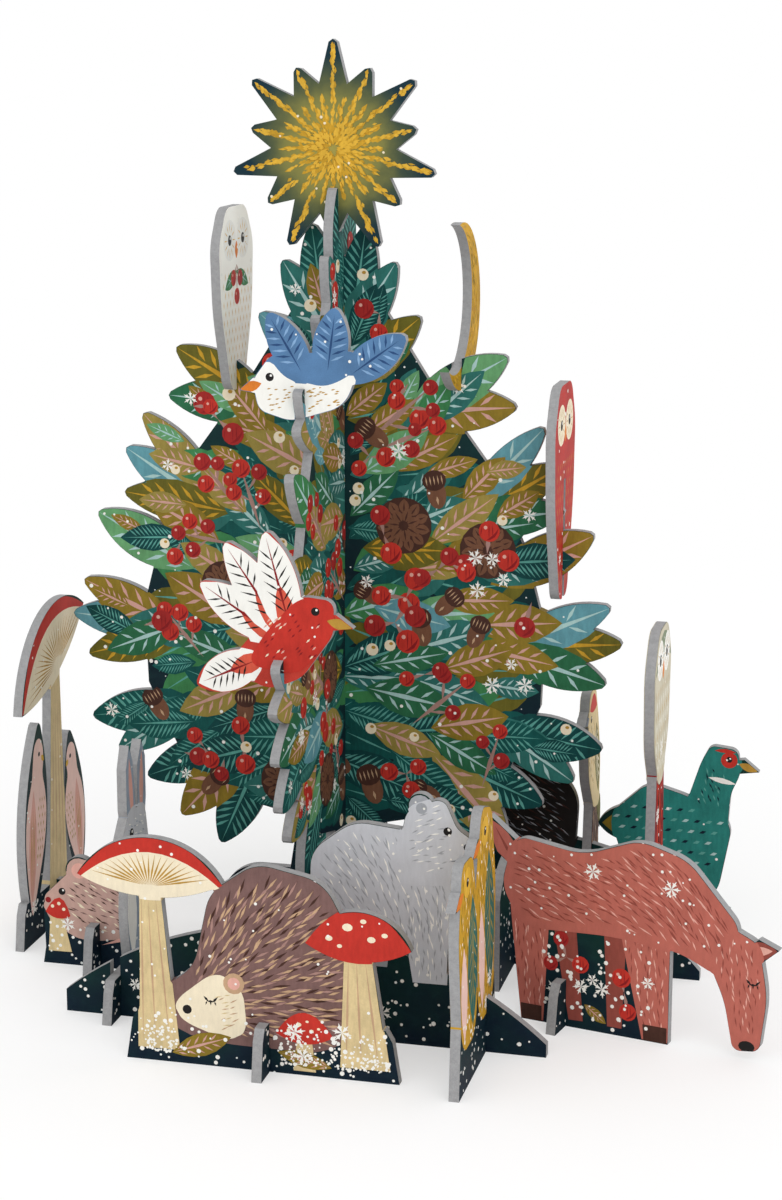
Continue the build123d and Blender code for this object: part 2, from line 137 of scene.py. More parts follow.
class Shade:
    """A node's socket with arithmetic: an expression on values adds its Math nodes."""

    def __init__(self, tree, socket):
        self.tree = tree
        self.socket = socket

    def node(self, kind, settings, inputs, output=0):
        """Add a node with its settings, then the values or links of its sockets."""
        made = self.tree.nodes.new(kind)
        for name, value in settings.items():
            setattr(made, name, value)
        for name, value in inputs.items():
            if isinstance(value, Shade):
                self.tree.links.new(value.socket, made.inputs[name])
            else:
                made.inputs[name].default_value = value
        return Shade(self.tree, made.outputs[output])

    def math(self, operation, first, second=0.0):
        return self.node("ShaderNodeMath", {"operation": operation}, {0: first, 1: second})

    def __add__(self, other):
        return self.math("ADD", self, other)

    def __sub__(self, other):
        return self.math("SUBTRACT", self, other)

    def __mul__(self, other):
        return self.math("MULTIPLY", self, other)

    def __gt__(self, other):
        return self.math("GREATER_THAN", self, other)

    def __lt__(self, other):
        return self.math("LESS_THAN", self, other)

    def size(self):
        return self.math("ABSOLUTE", self)

    def kept(self):
        """The value held between 0 and 1."""
        return self.node("ShaderNodeClamp", {}, {0: self})

    def noise(self, scale, detail=2.0):
        settings = {"Vector": self, "Scale": scale, "Detail": detail, "Roughness": 0.55}
        return self.node("ShaderNodeTexNoise", {}, settings)

    def dots(self, scale):
        """Distance to the nearest of a scatter of points."""
        return self.node("ShaderNodeTexVoronoi", {}, {"Vector": self, "Scale": scale})

    def dot(self, direction):
        return self.node("ShaderNodeVectorMath", {"operation": "DOT_PRODUCT"}, {0: self, 1: direction}, 1)

    def far_from(self, point):
        return self.node("ShaderNodeVectorMath", {"operation": "DISTANCE"}, {0: self, 1: point}, 1)

    def stretched(self, scale):
        return self.node("ShaderNodeVectorMath", {"operation": "MULTIPLY"}, {0: self, 1: scale})

    def mixed(self, low, high):
        """Colour between two colours, with this value as the share of the second."""
        return self.node("ShaderNodeMix", {"data_type": "RGBA"}, {0: self, 6: low, 7: high}, 2)


def paint(code):
    """Linear colour of an ink that is written as on a screen."""
    channels = [int(code[i:i + 2], 16) / 255 for i in (1, 3, 5)]
    return (*[c / 12.92 if c <= 0.04045 else ((c + 0.055) / 1.055) ** 2.4 for c in channels], 1.0)


def tinted(colour, factor):
    """A lighter or darker tone of a colour."""
    return (*[min(1.0, c * factor) for c in colour[:3]], 1.0)


def new_finish(name):
    """A new material, its Object coordinates and its shader."""
    material = bpy.data.materials.new(name)
    material.use_nodes = True
    tree = material.node_tree
    where = tree.nodes.new("ShaderNodeTexCoord")
    return material, Shade(tree, where.outputs["Object"]), tree.nodes["Principled BSDF"]


def set_paper(place, shader, colour, tooth):
    """Colour, roughness and fine relief of the printed paper."""
    relief = place.node("ShaderNodeBump", {}, {
        "Strength": PAPER_RELIEF, "Distance": RELIEF_DEPTH, "Height": tooth})
    rough = tooth * 0.2 + PAPER_ROUGHNESS
    for name, value in (("Base Color", colour), ("Roughness", rough), ("Normal", relief)):
        place.tree.links.new(value.socket, shader.inputs[name])
    shader.inputs["Specular IOR Level"].default_value = PAPER_SHINE


def tones(tone, code, contrast):
    """Colour that goes from a darker to a lighter tone of an ink."""
    colour = paint(code)
    return tone.kept().mixed(tinted(colour, 1 - 2 * contrast), tinted(colour, 1 + contrast))


def ink(code, contrast):
    """Printed gouache: one colour whose tone drifts in washes, with the grain of the paper in it."""
    material, place, shader = new_finish(f"ink_{code[1:]}")
    wash = place.noise(WASH_SCALE, 3.0)
    brush = place.stretched(BRUSH_STRETCH).noise(1.0)
    tooth = place.noise(TOOTH_SCALE)
    tone = (wash - 0.5) * 1.1 + (brush - 0.5) * 0.9 + (tooth - 0.5) * 0.5 + 0.5
    set_paper(place, shader, tones(tone, code, contrast), tooth)
    return material


def edge_colour(place, tooth):
    """Bare cut edge of the grey board, with its pressed layers."""
    layers = (place.noise(LAYER_SCALE, 3.0) - 0.5) * 0.9 + (tooth - 0.5) * 0.7 + 0.5
    return layers.kept().mixed(paint("#878788"), paint("#acacad"))


def board_finish(name, middle, out, ground):
    """A printed board: its ground on the two outer faces, bare grey board on the cut edge between them."""
    material, place, shader = new_finish(name)
    tooth = place.noise(TOOTH_SCALE)
    depth = (place.dot(out) - middle.dot(out)).size()
    face = depth > (BOARD / 2 - EDGE_BLUR) * MM
    set_paper(place, shader, face.mixed(edge_colour(place, tooth), ground(place, tooth)), tooth)
    return material


def night_ground(low="#081c2b", high="#0b322a", top=0.045, snow=0.1):
    """Ground that drifts from night blue at the foot to dark green above, under fine spattered snow."""
    def ground(place, tooth):
        height = place.dot((0.0, 0.0, 1 / top))
        drift = (height + (place.noise(60.0, 3.0) - 0.5) * 1.6).kept()
        base = drift.mixed(paint(low), paint(high))
        mottle = ((place.noise(300.0, 3.0) - 0.5) * 2.2 + (tooth - 0.5)).kept()
        worn = (mottle * 0.16).mixed(base, paint("#2c5a58"))
        return (place.dots(230.0) < snow).mixed(worn, paint("#e8ecea"))
    return ground


def plain_ground(code, contrast):
    """Ground of one ink, washed and grained like the print on it."""
    def ground(place, tooth):
        tone = (place.noise(WASH_SCALE, 3.0) - 0.5) * 1.4 + (tooth - 0.5) * 0.6 + 0.5
        return tones(tone, code, contrast)
    return ground


def glow_ground(middle, reach):
    """Ground that goes from a warm glow in the middle to night blue at the rim."""
    def ground(place, tooth):
        far = place.far_from(middle) * (1 / reach) + (place.noise(120.0, 3.0) - 0.5) * 0.35
        inner = (far * 1.7 - 0.3).kept().mixed(paint("#9a9048"), paint("#57613d"))
        return (far * 2.2 - 1.1).kept().mixed(inner, paint("#15303a"))
    return ground


def facing(x, y, turn=0.0):
    """Place of a board that faces the front: right, up and out of the print, in metres."""
    angle = math.radians(turn)
    right = Vector((math.cos(angle), math.sin(angle), 0.0))
    return place_of(Vector((x, y, 0.0)), right, Vector((math.sin(angle), -math.cos(angle), 0.0)))


def crossing(x, y, turn=0.0):
    """Place of a board that stands across: back, up and out of the print, in metres."""
    angle = math.radians(turn)
    back = Vector((-math.sin(angle), math.cos(angle), 0.0))
    return place_of(Vector((x, y, 0.0)), back, Vector((math.cos(angle), math.sin(angle), 0.0)))


def place_of(origin, right, out):
    """Matrix from a board's own millimetres to the scene's metres."""
    up = Vector((0.0, 0.0, 1.0))
    turn = Matrix((right, up, out)).transposed().to_4x4()
    return Matrix.Translation(origin * MM) @ turn @ Matrix.Scale(MM, 4)


def polar(angle):
    """Unit vector at an angle in radians."""
    return Vector((math.cos(angle), math.sin(angle)))


def crosswise(along):
    """The direction a quarter turn to the left of another."""
    return Vector((-along.y, along.x))


def around(points):
    """The sides of a closed outline, as pairs of points."""
    return list(zip(points, points[1:] + points[:1]))


def inside(x, y, outline):
    """Whether a point lies inside a closed outline."""
    crossed = False
    for (ax, ay), (bx, by) in around(outline):
        if (ay > y) != (by > y) and x < ax + (bx - ax) * (y - ay) / (by - ay):
            crossed = not crossed
    return crossed


def curve(points):
    """Line through rough points with its corners cut round."""
    for _ in range(2):
        cut = points[:1]
        for (ax, ay), (bx, by) in zip(points, points[1:]):
            cut += [(ax * share + bx * (1 - share), ay * share + by * (1 - share)) for share in (0.75, 0.25)]
        points = cut + points[-1:]
    return points


def grown(points):
    """Outline moved outwards by the bleed."""
    way = math.copysign(BLEED, sum(ax * by - bx * ay for (ax, ay), (bx, by) in around(points)))
    moved = []
    for (ax, ay), (x, y), (bx, by) in zip(points[-1:] + points[:-1], points, points[1:] + points[:1]):
        length = math.hypot(bx - ax, by - ay)
        moved.append((x + way * (by - ay) / length, y - way * (bx - ax) / length))
    return moved


def squares_under(outline):
    """Squares of the print's grid that a flat shape touches."""
    squares = set()
    for (ax, ay), (bx, by) in around(outline):
        steps = 1 + int(math.hypot(bx - ax, by - ay) / GRID)
        for step in range(steps):
            share = step / steps
            squares.add((round((ax + (bx - ax) * share) / GRID), round((ay + (by - ay) * share) / GRID)))
    columns = [square[0] for square in squares]
    rows = [square[1] for square in squares]
    for column in range(min(columns), max(columns) + 1):
        for row in range(min(rows), max(rows) + 1):
            if inside(column * GRID, row * GRID, outline):
                squares.add((column, row))
    return squares


class Print:
    """The print of one board: flat shapes in the board's own plane, laid over each other.

    Each shape becomes a closed sheet through the board, so that it shows on both faces.
    """

    def __init__(self, board, place, ground):
        self.board = board
        self.place = place
        self.out = place.to_3x3() @ Vector((0.0, 0.0, 1.0))
        self.mesh = bmesh.new()
        self.inks = []
        self.top = {}
        self.seeds = []
        self.cover = BVHTree.FromObject(nodes[board], bpy.context.evaluated_depsgraph_get())
        finish = board_finish(f"{board}_board", place.translation, self.out.normalized(), ground)
        nodes[board].material_slots[0].material = finish

    def covers(self, point, middle, margin):
        """Whether the board still lies under a place a little further out than a point."""
        reach = point + (point - middle).normalized() * margin
        start = self.place @ Vector((reach.x, reach.y, 2 * BOARD))
        return self.cover.ray_cast(start, -self.out.normalized(), 2 * BOARD * MM)[0] is not None

    def holds(self, outline):
        """Whether a shape lies wholly on the board, clear of its cut edges and slots."""
        points = [Vector(point) for point in outline]
        middle = sum(points, Vector((0.0, 0.0))) / len(points)
        return all(self.covers(point, middle, CUT_MARGIN) for point in points)

    def drawn_in(self, point, middle):
        """The last place on the board on the way from a shape's middle to a point."""
        low, step = 0.0, FIRST_STEP
        for _ in range(HALVINGS):
            while low + step <= 1.0 and self.covers(middle.lerp(point, low + step), middle, TRIM):
                low += step
            step /= 2 if low < 1.0 else 1
        return middle.lerp(point, low)

    def trim(self, face):
        """Cut a shape that runs off the board along the cut edge.

        One whose middle is off the board is dropped.
        """
        points = [vert.co.copy() for vert in face.verts]
        middle = face.calc_center_median()
        sides = around(points)
        spots = points + [start.lerp(end, 0.5) for start, end in sides]
        if all(self.covers(spot, middle, TRIM) for spot in spots):
            return face
        bmesh.ops.delete(self.mesh, geom=[face], context="FACES")
        if not self.covers(middle, middle, TRIM):
            return None
        cut = []
        for start, end in sides:
            whole = all(self.covers(start.lerp(end, share), middle, TRIM) for share in (0.0, 0.5, 1.0))
            pieces = 1 + int((end - start).length * (PIECES_INSIDE if whole else PIECES_AT_EDGE))
            cut += [self.drawn_in(start.lerp(end, piece / pieces), middle) for piece in range(pieces)]
        for _ in range(CORNER_PASSES):
            finer = []
            for start, end in around(cut):
                between = [start.lerp(end, share) for share in (0.25, 0.5, 0.75)]
                finer.append(start)
                if not all(self.covers(spot, middle, TRIM / 3) for spot in between):
                    finer += [self.drawn_in(spot, middle) for spot in between]
            cut = finer
        return self.corners([point.xy for point in cut])

    def fits(self, at, radius):
        """Whether a round shape lies wholly on the board."""
        turns = [math.tau * step / 8 for step in range(8)]
        return self.holds([
            (at[0] + radius * math.cos(turn), at[1] + radius * math.sin(turn)) for turn in turns])

    def free(self, at, radius):
        """Whether a place is clear of the berries and seeds that were drawn before."""
        return all(math.dist(at, seed) > radius + size for seed, size in self.seeds)

    def settle(self, face, colour, checked=False, over=None, marked=False):
        """Lay a drawn face over other ink that is already there.

        Where it leaves the board it is trimmed, or the whole shape is dropped if it is to be checked.
        Gives the height at which it lies. A mark within another shape names the height that it lies
        over, and a shape that gets such marks isn't taken for plain ink of its colour.
        """
        if not checked:
            face = self.trim(face)
            if not face:
                return None
        outline = [(vert.co.x, vert.co.y) for vert in face.verts]
        if checked and not self.holds(outline):
            bmesh.ops.delete(self.mesh, geom=[face], context="FACES")
            return None
        if over is None:
            squares = squares_under(outline)
            under = [self.top.get(square, (BOARD / 2, None)) for square in squares]
            height = max(top + (INK_SPREAD if below is colour else INK_STEP) for top, below in under)
            self.top.update({square: (height, None if marked else colour) for square in squares})
        else:
            height = over + INK_GAP
        for vert in face.verts:
            vert.co.z = height
        if colour not in self.inks:
            self.inks.append(colour)
        face.material_index = self.inks.index(colour)
        return height

    def corners(self, points):
        """Flat face with these corners."""
        return self.mesh.faces.new([self.mesh.verts.new((x, y, 0.0)) for x, y in points])

    def patch(self, points, colour):
        """Straight-sided field of colour."""
        self.settle(self.corners(grown(points)), colour)

    def rounded(self, points, colour):
        """Field of colour with rounded corners."""
        face = self.corners(points)
        bent = bmesh.ops.bevel(self.mesh, geom=list(face.verts), offset=CORNER_CUT, offset_type="PERCENT",
                               affect="VERTICES", segments=CORNER_SEGMENTS, profile=0.5, material=-1)
        face = bent["verts"][0].link_faces[0]
        for vert, (x, y) in zip(face.verts, grown([vert.co.xy for vert in face.verts])):
            vert.co = (x, y, 0.0)
        self.settle(face, colour)

    def ring(self, sides, shape):
        """Face made from a circle of vertices, each moved by a shape that takes its place on that circle."""
        verts = bmesh.ops.create_circle(self.mesh, cap_ends=True, segments=sides, radius=1.0)["verts"]
        for vert in verts:
            x, y = shape(vert.co.x, vert.co.y)
            vert.co = (x, y, 0.0)
        return verts[0].link_faces[0]

    def disc(self, at, radius, colour, sides=14, flat=1.0, turn=0.0, checked=False, over=None, marked=False):
        """Round or oval spot."""
        cosine, sine = math.cos(math.radians(turn)), math.sin(math.radians(turn))

        def spot(along, across):
            x, y = along * radius, across * radius * flat
            return at[0] + x * cosine - y * sine, at[1] + x * sine + y * cosine

        return self.settle(self.ring(sides, spot), colour, checked, over, marked)

    def lens(self, start, end, left, right, colour, sides=16, checked=False, over=None, marked=False):
        """Pointed field between two points, with its own bulge on the left and on the right."""
        start, end = Vector(start), Vector(end)
        middle, half = (start + end) / 2, (end - start) / 2
        across = crosswise(half).normalized()

        def bulge(along, aside):
            swell = aside * abs(aside) * (left if aside > 0 else right)
            return middle + half * along + across * swell

        return self.settle(self.ring(sides, bulge), colour, checked, over, marked)

    def leaf(self, root, tip, width, colour, checked=False, marked=False):
        """Plain leaf with two even sides."""
        return self.lens(root, tip, width / 2, width / 2, colour, checked=checked, marked=marked)

    def stroke(self, start, end, width, colour, checked=False, over=None):
        """Brush stroke that is pointed at both ends."""
        start, end = Vector(start), Vector(end)
        across = Vector((start.y - end.y, end.x - start.x)).normalized() * width / 2
        body = start.lerp(end, 0.45)
        return self.settle(self.corners([start, body - across, end, body + across]), colour, checked, over)

    def line(self, points, width, colour):
        """Curved line of strokes that overlap a little."""
        for start, end in zip(points, points[1:]):
            start, end = Vector(start), Vector(end)
            spare = (end - start) * 0.25
            self.stroke(start - spare, end + spare, width, colour)

    def veined_leaf(self, root, tip, width, colour, vein, pairs=5, checked=False):
        """Leaf with a midrib and side veins."""
        return self.ribbed(root, tip, width, colour, vein, pairs, LEAF_VEINS, checked)

    def ribbed(self, root, tip, width, colour, rib, pairs, shares, checked):
        """Leaf with a rib and pairs of side ribs; their widths, lean and reach are shares of its width."""
        root, tip = Vector(root), Vector(tip)
        leaf = self.leaf(root, tip, width, colour, checked, True)
        if not leaf:
            return False
        rib_width, side_width, lean, reach = shares
        along = tip - root
        across = crosswise(along).normalized() * width
        self.stroke(root.lerp(tip, 0.03), root.lerp(tip, 0.95), width * rib_width, rib, over=leaf)
        for pair in range(pairs):
            share = 0.1 + 0.7 * pair / pairs
            out = reach / 2 * (1 - (2 * share + lean - 1) ** 2)
            for side in (-1, 1):
                foot = root + along * share + across * side * rib_width * 0.55
                end = root + along * (share + 0.13) + across * side * out
                self.stroke(foot, end, width * side_width, rib, over=leaf)
        return True

    def berry(self, at, radius, checked=False):
        """Round berry with a painted shaded side, fine stripes and a painted highlight."""
        x, y = at
        berry = self.disc(at, radius, draw.choice((RED, RED, CRIMSON)), checked=checked, marked=True)
        if not berry:
            return
        self.seeds.append((at, radius))
        # Painted shade: a darker lens on one side makes the berry look round
        shade = self.lens((x - radius * 0.3, y - radius * 0.85), (x + radius * 0.85, y + radius * 0.3),
                          -radius * 0.1, radius * 0.36, DARK_RED, 10, over=berry)
        for share in (-0.7, -0.02, 0.3):
            reach = radius * (0.85 - 0.5 * abs(share))
            self.stroke((x + radius * share, y + reach), (x + radius * share * 1.15, y - reach), radius * 0.1,
                        DARK_RED, over=shade)
        # Painted highlight: a small pink spot near the top of the berry
        self.disc((x - radius * 0.35, y + radius * 0.35), radius * 0.18, PINK, 8, over=shade)

    def pale_berry(self, at, radius):
        """White berry with a small dry crown."""
        berry = self.free(at, radius) and self.disc(at, radius, CREAM, 12, checked=True, marked=True)
        if berry:
            self.seeds.append((at, radius))
            self.disc((at[0] + radius * 0.2, at[1] + radius * 0.35), radius * 0.36, OCHRE, 8, 0.8, over=berry)

    def cluster(self, at, count, radius):
        """Berries on short stems that spread from one point."""
        start = draw.uniform(0.0, 360.0)
        for number in range(count):
            angle = math.radians(start + number * 360.0 / count + draw.uniform(-15, 15))
            reach = radius * draw.uniform(1.6, 2.3)
            end = (at[0] + reach * math.cos(angle), at[1] + reach * math.sin(angle))
            size = radius * draw.uniform(0.85, 1.1)
            if self.fits(end, size) and self.stroke(at, end, radius * 0.4, TWIG, checked=True):
                self.berry(end, size)

    def twig(self, root, tip, berries, radius):
        """Bare twig that forks, with a berry at the end of each fork."""
        root, tip = Vector(root), Vector(tip)
        along = tip - root
        across = crosswise(along)
        if not self.stroke(root, tip, along.length * 0.07, TWIG, checked=True):
            return
        for fork in range(berries):
            share = 0.3 + 0.5 * fork / berries
            side = 1 if fork % 2 else -1
            foot = root + along * share
            end = foot + along * draw.uniform(0.16, 0.26) + across * side * draw.uniform(0.16, 0.28)
            size = radius * draw.uniform(0.75, 1.1)
            if self.fits(end, size) and self.stroke(foot, end, along.length * 0.045, TWIG, checked=True):
                self.berry(end, size)
        self.berry(tip, radius, checked=True)

    def rosette(self, at, radius):
        """Dry seed rosette: rings of brown scales round a small heart."""
        if not self.free(at, radius * 0.7) or not self.disc(at, radius, BARK, 18, checked=True):
            return
        self.seeds.append((at, radius))
        for ring, scales in ((0.72, 11), (0.42, 7)):
            for number in range(scales):
                out = polar(math.tau * (number + ring) / scales)
                foot = Vector(at) + out * radius * (ring - 0.3)
                self.leaf(foot, foot + out * radius * 0.52, radius * 0.36, NUT)
                self.stroke(foot, foot + out * radius * 0.44, radius * 0.07, BARK)
        self.disc(at, radius * 0.18, BARK, 8)

    def acorn(self, at, size, turn):
        """Acorn: a nut in a hatched cup."""
        along = polar(math.radians(turn))
        across = crosswise(along)
        middle = Vector(at)
        nut = middle + along * size * 0.35
        if not self.free(at, size * 0.8) or not self.disc(nut, size * 0.8, NUT, 16, 0.62, turn, checked=True):
            return
        self.seeds.append((at, size))
        self.disc(middle - along * size * 0.3, size * 0.62, BARK, 14, 0.85, turn + 90)
        for row in range(-2, 3):
            foot = middle - along * size * 0.55 + across * size * 0.2 * row
            self.stroke(foot, foot + along * size * 0.5, size * 0.07, TAN)
        self.stroke(middle + along * size * 0.5, middle + along * size * 0.95, size * 0.14, TAN)

    def flake(self, at, size, colour):
        """Six-armed snowflake with barbs."""
        turn = draw.uniform(0.0, 60.0)
        middle = Vector(at)
        tips = [polar(math.radians(turn + 60 * arm)) * size for arm in range(6)]
        if not self.holds([middle + tip for tip in tips]):
            return
        for arm, tip in enumerate(tips):
            self.stroke(middle, middle + tip, size * 0.26, colour)
            fork = middle + tip * 0.5
            for other in (tips[(arm + 1) % 6], tips[arm - 1]):
                self.stroke(fork, fork + other * 0.3, size * 0.15, colour)

    def snow(self, low, high, dots, flakes, colour, size=(0.3, 0.75), flake_size=(2.2, 3.6)):
        """Scatter of snow dots and flakes over a stretch of the board."""
        for _ in range(flakes):
            self.flake((draw.uniform(low[0], high[0]), draw.uniform(low[1], high[1])),
                       draw.uniform(*flake_size), colour)
        for _ in range(dots):
            at = (draw.uniform(low[0], high[0]), draw.uniform(low[1], high[1]))
            self.disc(at, draw.uniform(*size), colour, 7, checked=True)

    def spray(self, at, reach, dots, colour):
        """Snow that is thick at one point and thins out round it."""
        for _ in range(dots):
            spot = (at[0] + draw.gauss(0.0, reach[0]), at[1] + abs(draw.gauss(0.0, reach[1])))
            self.disc(spot, draw.uniform(0.18, 0.5), colour, 6, checked=True)

    def fur(self, outline, spacing, length, width, colours, lean):
        """Rows of short strokes over a field, each leaning by a rule of its place."""
        xs = [x for x, _ in outline]
        ys = [y for _, y in outline]
        rows = int((max(ys) - min(ys)) / spacing)
        columns = int((max(xs) - min(xs)) / spacing)
        for row in range(rows + 1):
            for column in range(columns + 1):
                x = min(xs) + (column + 0.5 * (row % 2)) * spacing + draw.uniform(-0.35, 0.35) * spacing
                y = min(ys) + row * spacing + draw.uniform(-0.35, 0.35) * spacing
                angle = math.radians(lean(x, y) + draw.uniform(-14, 14))
                reach = length * draw.uniform(0.7, 1.25)
                end = (x + reach * math.cos(angle), y + reach * math.sin(angle))
                if inside(x, y, outline) and inside(*end, outline):
                    self.stroke((x, y), end, width, colours[(row + column) % len(colours)])

    def eye(self, at, size, colour, asleep=False):
        """Round eye with a painted highlight, or a closed one with lashes."""
        x, y = at
        if asleep:
            self.line([(x - size, y + size * 0.3), (x - size * 0.4, y - size * 0.35),
                       (x + size * 0.4, y - size * 0.35), (x + size, y + size * 0.3)], size * 0.4, colour)
            for lash in (-0.6, 0.0, 0.6):
                self.stroke((x + lash * size, y - size * 0.3), (x + lash * size * 1.4, y - size),
                            size * 0.25, colour)
            return
        self.disc(at, size, colour, 12)
        # Painted highlight: a small white spot on the eye
        self.disc((x + size * 0.3, y + size * 0.35), size * 0.3, WHITE, 7)

    def owl_eye(self, at, size, mask, rays, feather, pupil):
        """Owl's eye in a round mask, with a ring of feather strokes between two distances from its middle."""
        self.disc(at, size, mask, 18)
        for ray in range(12):
            out = polar(math.tau * ray / 12)
            self.stroke(Vector(at) + out * rays[0], Vector(at) + out * rays[1], 0.4, feather)
        self.eye(at, pupil, COAL)

    def toadstool(self, foot, top, cap_width, cap_height, stem_width, spotted=True):
        """Toadstool: a ribbed stem under a spotted cap, or one that shows its gills under a red rim."""
        x, z = top
        rise, drop = cap_height * 0.7, cap_height * 0.3
        rim = z - rise
        half = cap_width / 2
        self.patch([(foot[0] - stem_width + 0.4, foot[1]), (foot[0] + stem_width - 0.4, foot[1]),
                    (x + stem_width / 2 - 0.3, rim), (x - stem_width / 2 + 0.3, rim)], STEM)
        for rib in (-0.5, -0.1, 0.35):
            self.stroke((foot[0] + rib * stem_width * 1.6, foot[1] + 1),
                        (x + rib * stem_width * 0.8, rim - 3), stem_width * 0.1, TAN)
        self.lens((x - half, rim), (x + half, rim), rise + 1.2, drop + 0.4, RED, 32)
        if spotted:
            for share, up, size in ((-0.55, 0.2, 0.7), (-0.2, 0.55, 1.0), (0.25, 0.25, 0.8), (0.5, 0.4, 0.6),
                                    (0.1, 0.75, 0.6), (-0.35, 0.0, 0.5)):
                self.disc((x + half * share, rim + rise * up), cap_width * 0.05 * size, CREAM, 10, 0.75)
            return
        low = rim - drop * 0.15
        self.lens((x - half * 0.96, low), (x + half * 0.96, low), rise * 0.72, drop, CREAM, 32)
        for gill in range(-9, 10):
            share = gill / 10
            swell = 1 - share * share
            self.stroke((x + half * 0.12 * share, rim - drop * 0.3),
                        (x + half * 0.9 * share, rim + rise * 0.62 * swell), 0.55, OCHRE)

    def finish(self, slot):
        """Turn the drawn faces into closed sheets through the board and hand over the piece."""
        sheets = bmesh.ops.extrude_face_region(self.mesh, geom=list(self.mesh.faces))["geom"]
        for item in sheets:
            if isinstance(item, bmesh.types.BMVert):
                item.co.z = -item.co.z
        bmesh.ops.recalc_face_normals(self.mesh, faces=self.mesh.faces)
        self.mesh.transform(self.place)
        name = f"{self.board}_print"
        mesh = bpy.data.meshes.new(name)
        self.mesh.to_mesh(mesh)
        self.mesh.free()
        for colour in self.inks:
            mesh.materials.append(colour)
        piece = bpy.data.objects.new(name, mesh)
        bpy.context.scene.collection.objects.link(piece)
        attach(piece, "root")


WHITE = ink("#f3f2ec", 0.04)
CREAM = ink("#efe2c6", 0.07)
OAT = ink("#cdc5ae", 0.1)
STEM = ink("#d9c393", 0.14)
OCHRE = ink("#b98f3c", 0.14)
GOLD = ink("#c79a2e", 0.16)
YELLOW = ink("#dcae3c", 0.14)
OLIVE = ink("#8c7629", 0.16)
PALE_OLIVE = ink("#9b8a45", 0.16)
DARK_OLIVE = ink("#6b6524", 0.18)
GREEN = ink("#3f8350", 0.18)
PALE_GREEN = ink("#67a06d", 0.16)
DARK_GREEN = ink("#2c6a48", 0.18)
TEAL_LEAF = ink("#2f6f68", 0.18)
FIR = ink("#135450", 0.2)
DEEP_FIR = ink("#0f4545", 0.2)
NEEDLE = ink("#5ca398", 0.16)
MIST = ink("#6199a4", 0.16)
PALE_MIST = ink("#a9cbc8", 0.1)
NIGHT = ink("#0e2233", 0.2)
VEIN = ink("#cf9f93", 0.08)
PINK = ink("#e2aa9c", 0.1)
BLUSH = ink("#eecabf", 0.07)
DUSK = ink("#c5a195", 0.1)
RED = ink("#c2352b", 0.12)
CRIMSON = ink("#a62b29", 0.12)
DARK_RED = ink("#8d1f22", 0.14)
CORAL = ink("#d85a45", 0.14)
RUST = ink("#b9685b", 0.1)
DARK_RUST = ink("#934b41", 0.12)
BARK = ink("#4a2f27", 0.2)
NUT = ink("#76503c", 0.18)
TWIG = ink("#a8837a", 0.12)
TAN = ink("#c3a07f", 0.12)
MAUVE = ink("#7d5f5b", 0.16)
COAL = ink("#23201f", 0.2)
PEARL = ink("#c9ccd2", 0.07)
GREY = ink("#a4a8ae", 0.1)
SLATE = ink("#6f757d", 0.14)
BLUE_GREY = ink("#98a5b6", 0.1)
DARK_BLUE = ink("#2d4c78", 0.14)
SKY = ink("#86abd2", 0.12)
ORANGE = ink("#dd7f30", 0.14)
TEAL = ink("#2b8078", 0.18)
SAGE = ink("#7f8a70", 0.16)

# Kinds of leaves: colours of the leaf, colour of its ribs, pairs of side ribs and their form
FOLIAGE = {
    "olive": ((OLIVE, PALE_OLIVE), VEIN, 5, LEAF_VEINS),
    "fir": ((FIR, DEEP_FIR), NEEDLE, 11, FIR_NEEDLES),
    "green": ((GREEN, PALE_GREEN, DARK_GREEN), PALE_MIST, 4, LEAF_VEINS),
    "mist": ((MIST,), PALE_MIST, 3, LEAF_VEINS),
    "gold": ((DARK_OLIVE,), GOLD, 6, LEAF_VEINS),
    "teal": ((TEAL_LEAF,), PALE_MIST, 5, LEAF_VEINS),
}


def core_width(height):
    """Half width of the tree's foliage at a height, both as shares."""
    stops = [(0.12, 0.3), (0.18, 0.6), (0.25, 0.8), (0.35, 0.9), (0.45, 0.92), (0.55, 0.84), (0.65, 0.72),
             (0.75, 0.56), (0.84, 0.3), (0.92, 0.16), (1.0, 0.06)]
    for (low, narrow), (high, wide) in zip(stops, stops[1:]):
        if height <= high:
            return narrow + (wide - narrow) * (height - low) / (high - low)
    return stops[-1][1]


def foliage(sheet, root, tip, width, kind, checked):
    """One leaf of the tree, in one of its kinds."""
    colours, rib, pairs, shares = FOLIAGE[kind]
    colour = draw.choice(colours) if len(colours) > 1 else colours[0]
    return sheet.ribbed(root, tip, width, colour, rib, pairs, shares, checked)


def in_tree(half_width, low, high, reach):
    """A random place in the foliage between two heights, out to a share of its width."""
    up = draw.uniform(low, high)
    return draw.uniform(-1, 1) * reach * core_width(up) * half_width, TREE_HEIGHT * up


def leaf_way(up, spread, side):
    """Direction of a leaf that points outwards at a height of the tree."""
    angle = math.radians(FOOT_LEAN + LEAN_RISE * up + draw.uniform(-spread, spread))
    return Vector((math.copysign(math.cos(angle), side), math.sin(angle)))


def leaf_lobes(sheet, half_width, lobes, kinds):
    """A leaf on each lobe of the panel's edge."""
    numbered = list(enumerate(lobes))
    for number, (out, up, width, angle) in numbered[::2] + numbered[1::2]:
        turn = math.radians(angle)
        for side in (-1, 1):
            tip = Vector((side * half_width * out, TREE_HEIGHT * up))
            along = Vector((side * math.cos(turn), math.sin(turn)))
            root = tip - along * LEAF_LENGTH
            kind = ("fir", "teal", "fir", "olive")[number % 4]
            if 0.3 < up < 0.9:
                kind = kinds[(number + (side > 0)) % len(kinds)]
            foliage(sheet, root, tip + along * BLEED, LEAF_LENGTH * width + 2 * BLEED, kind, False)


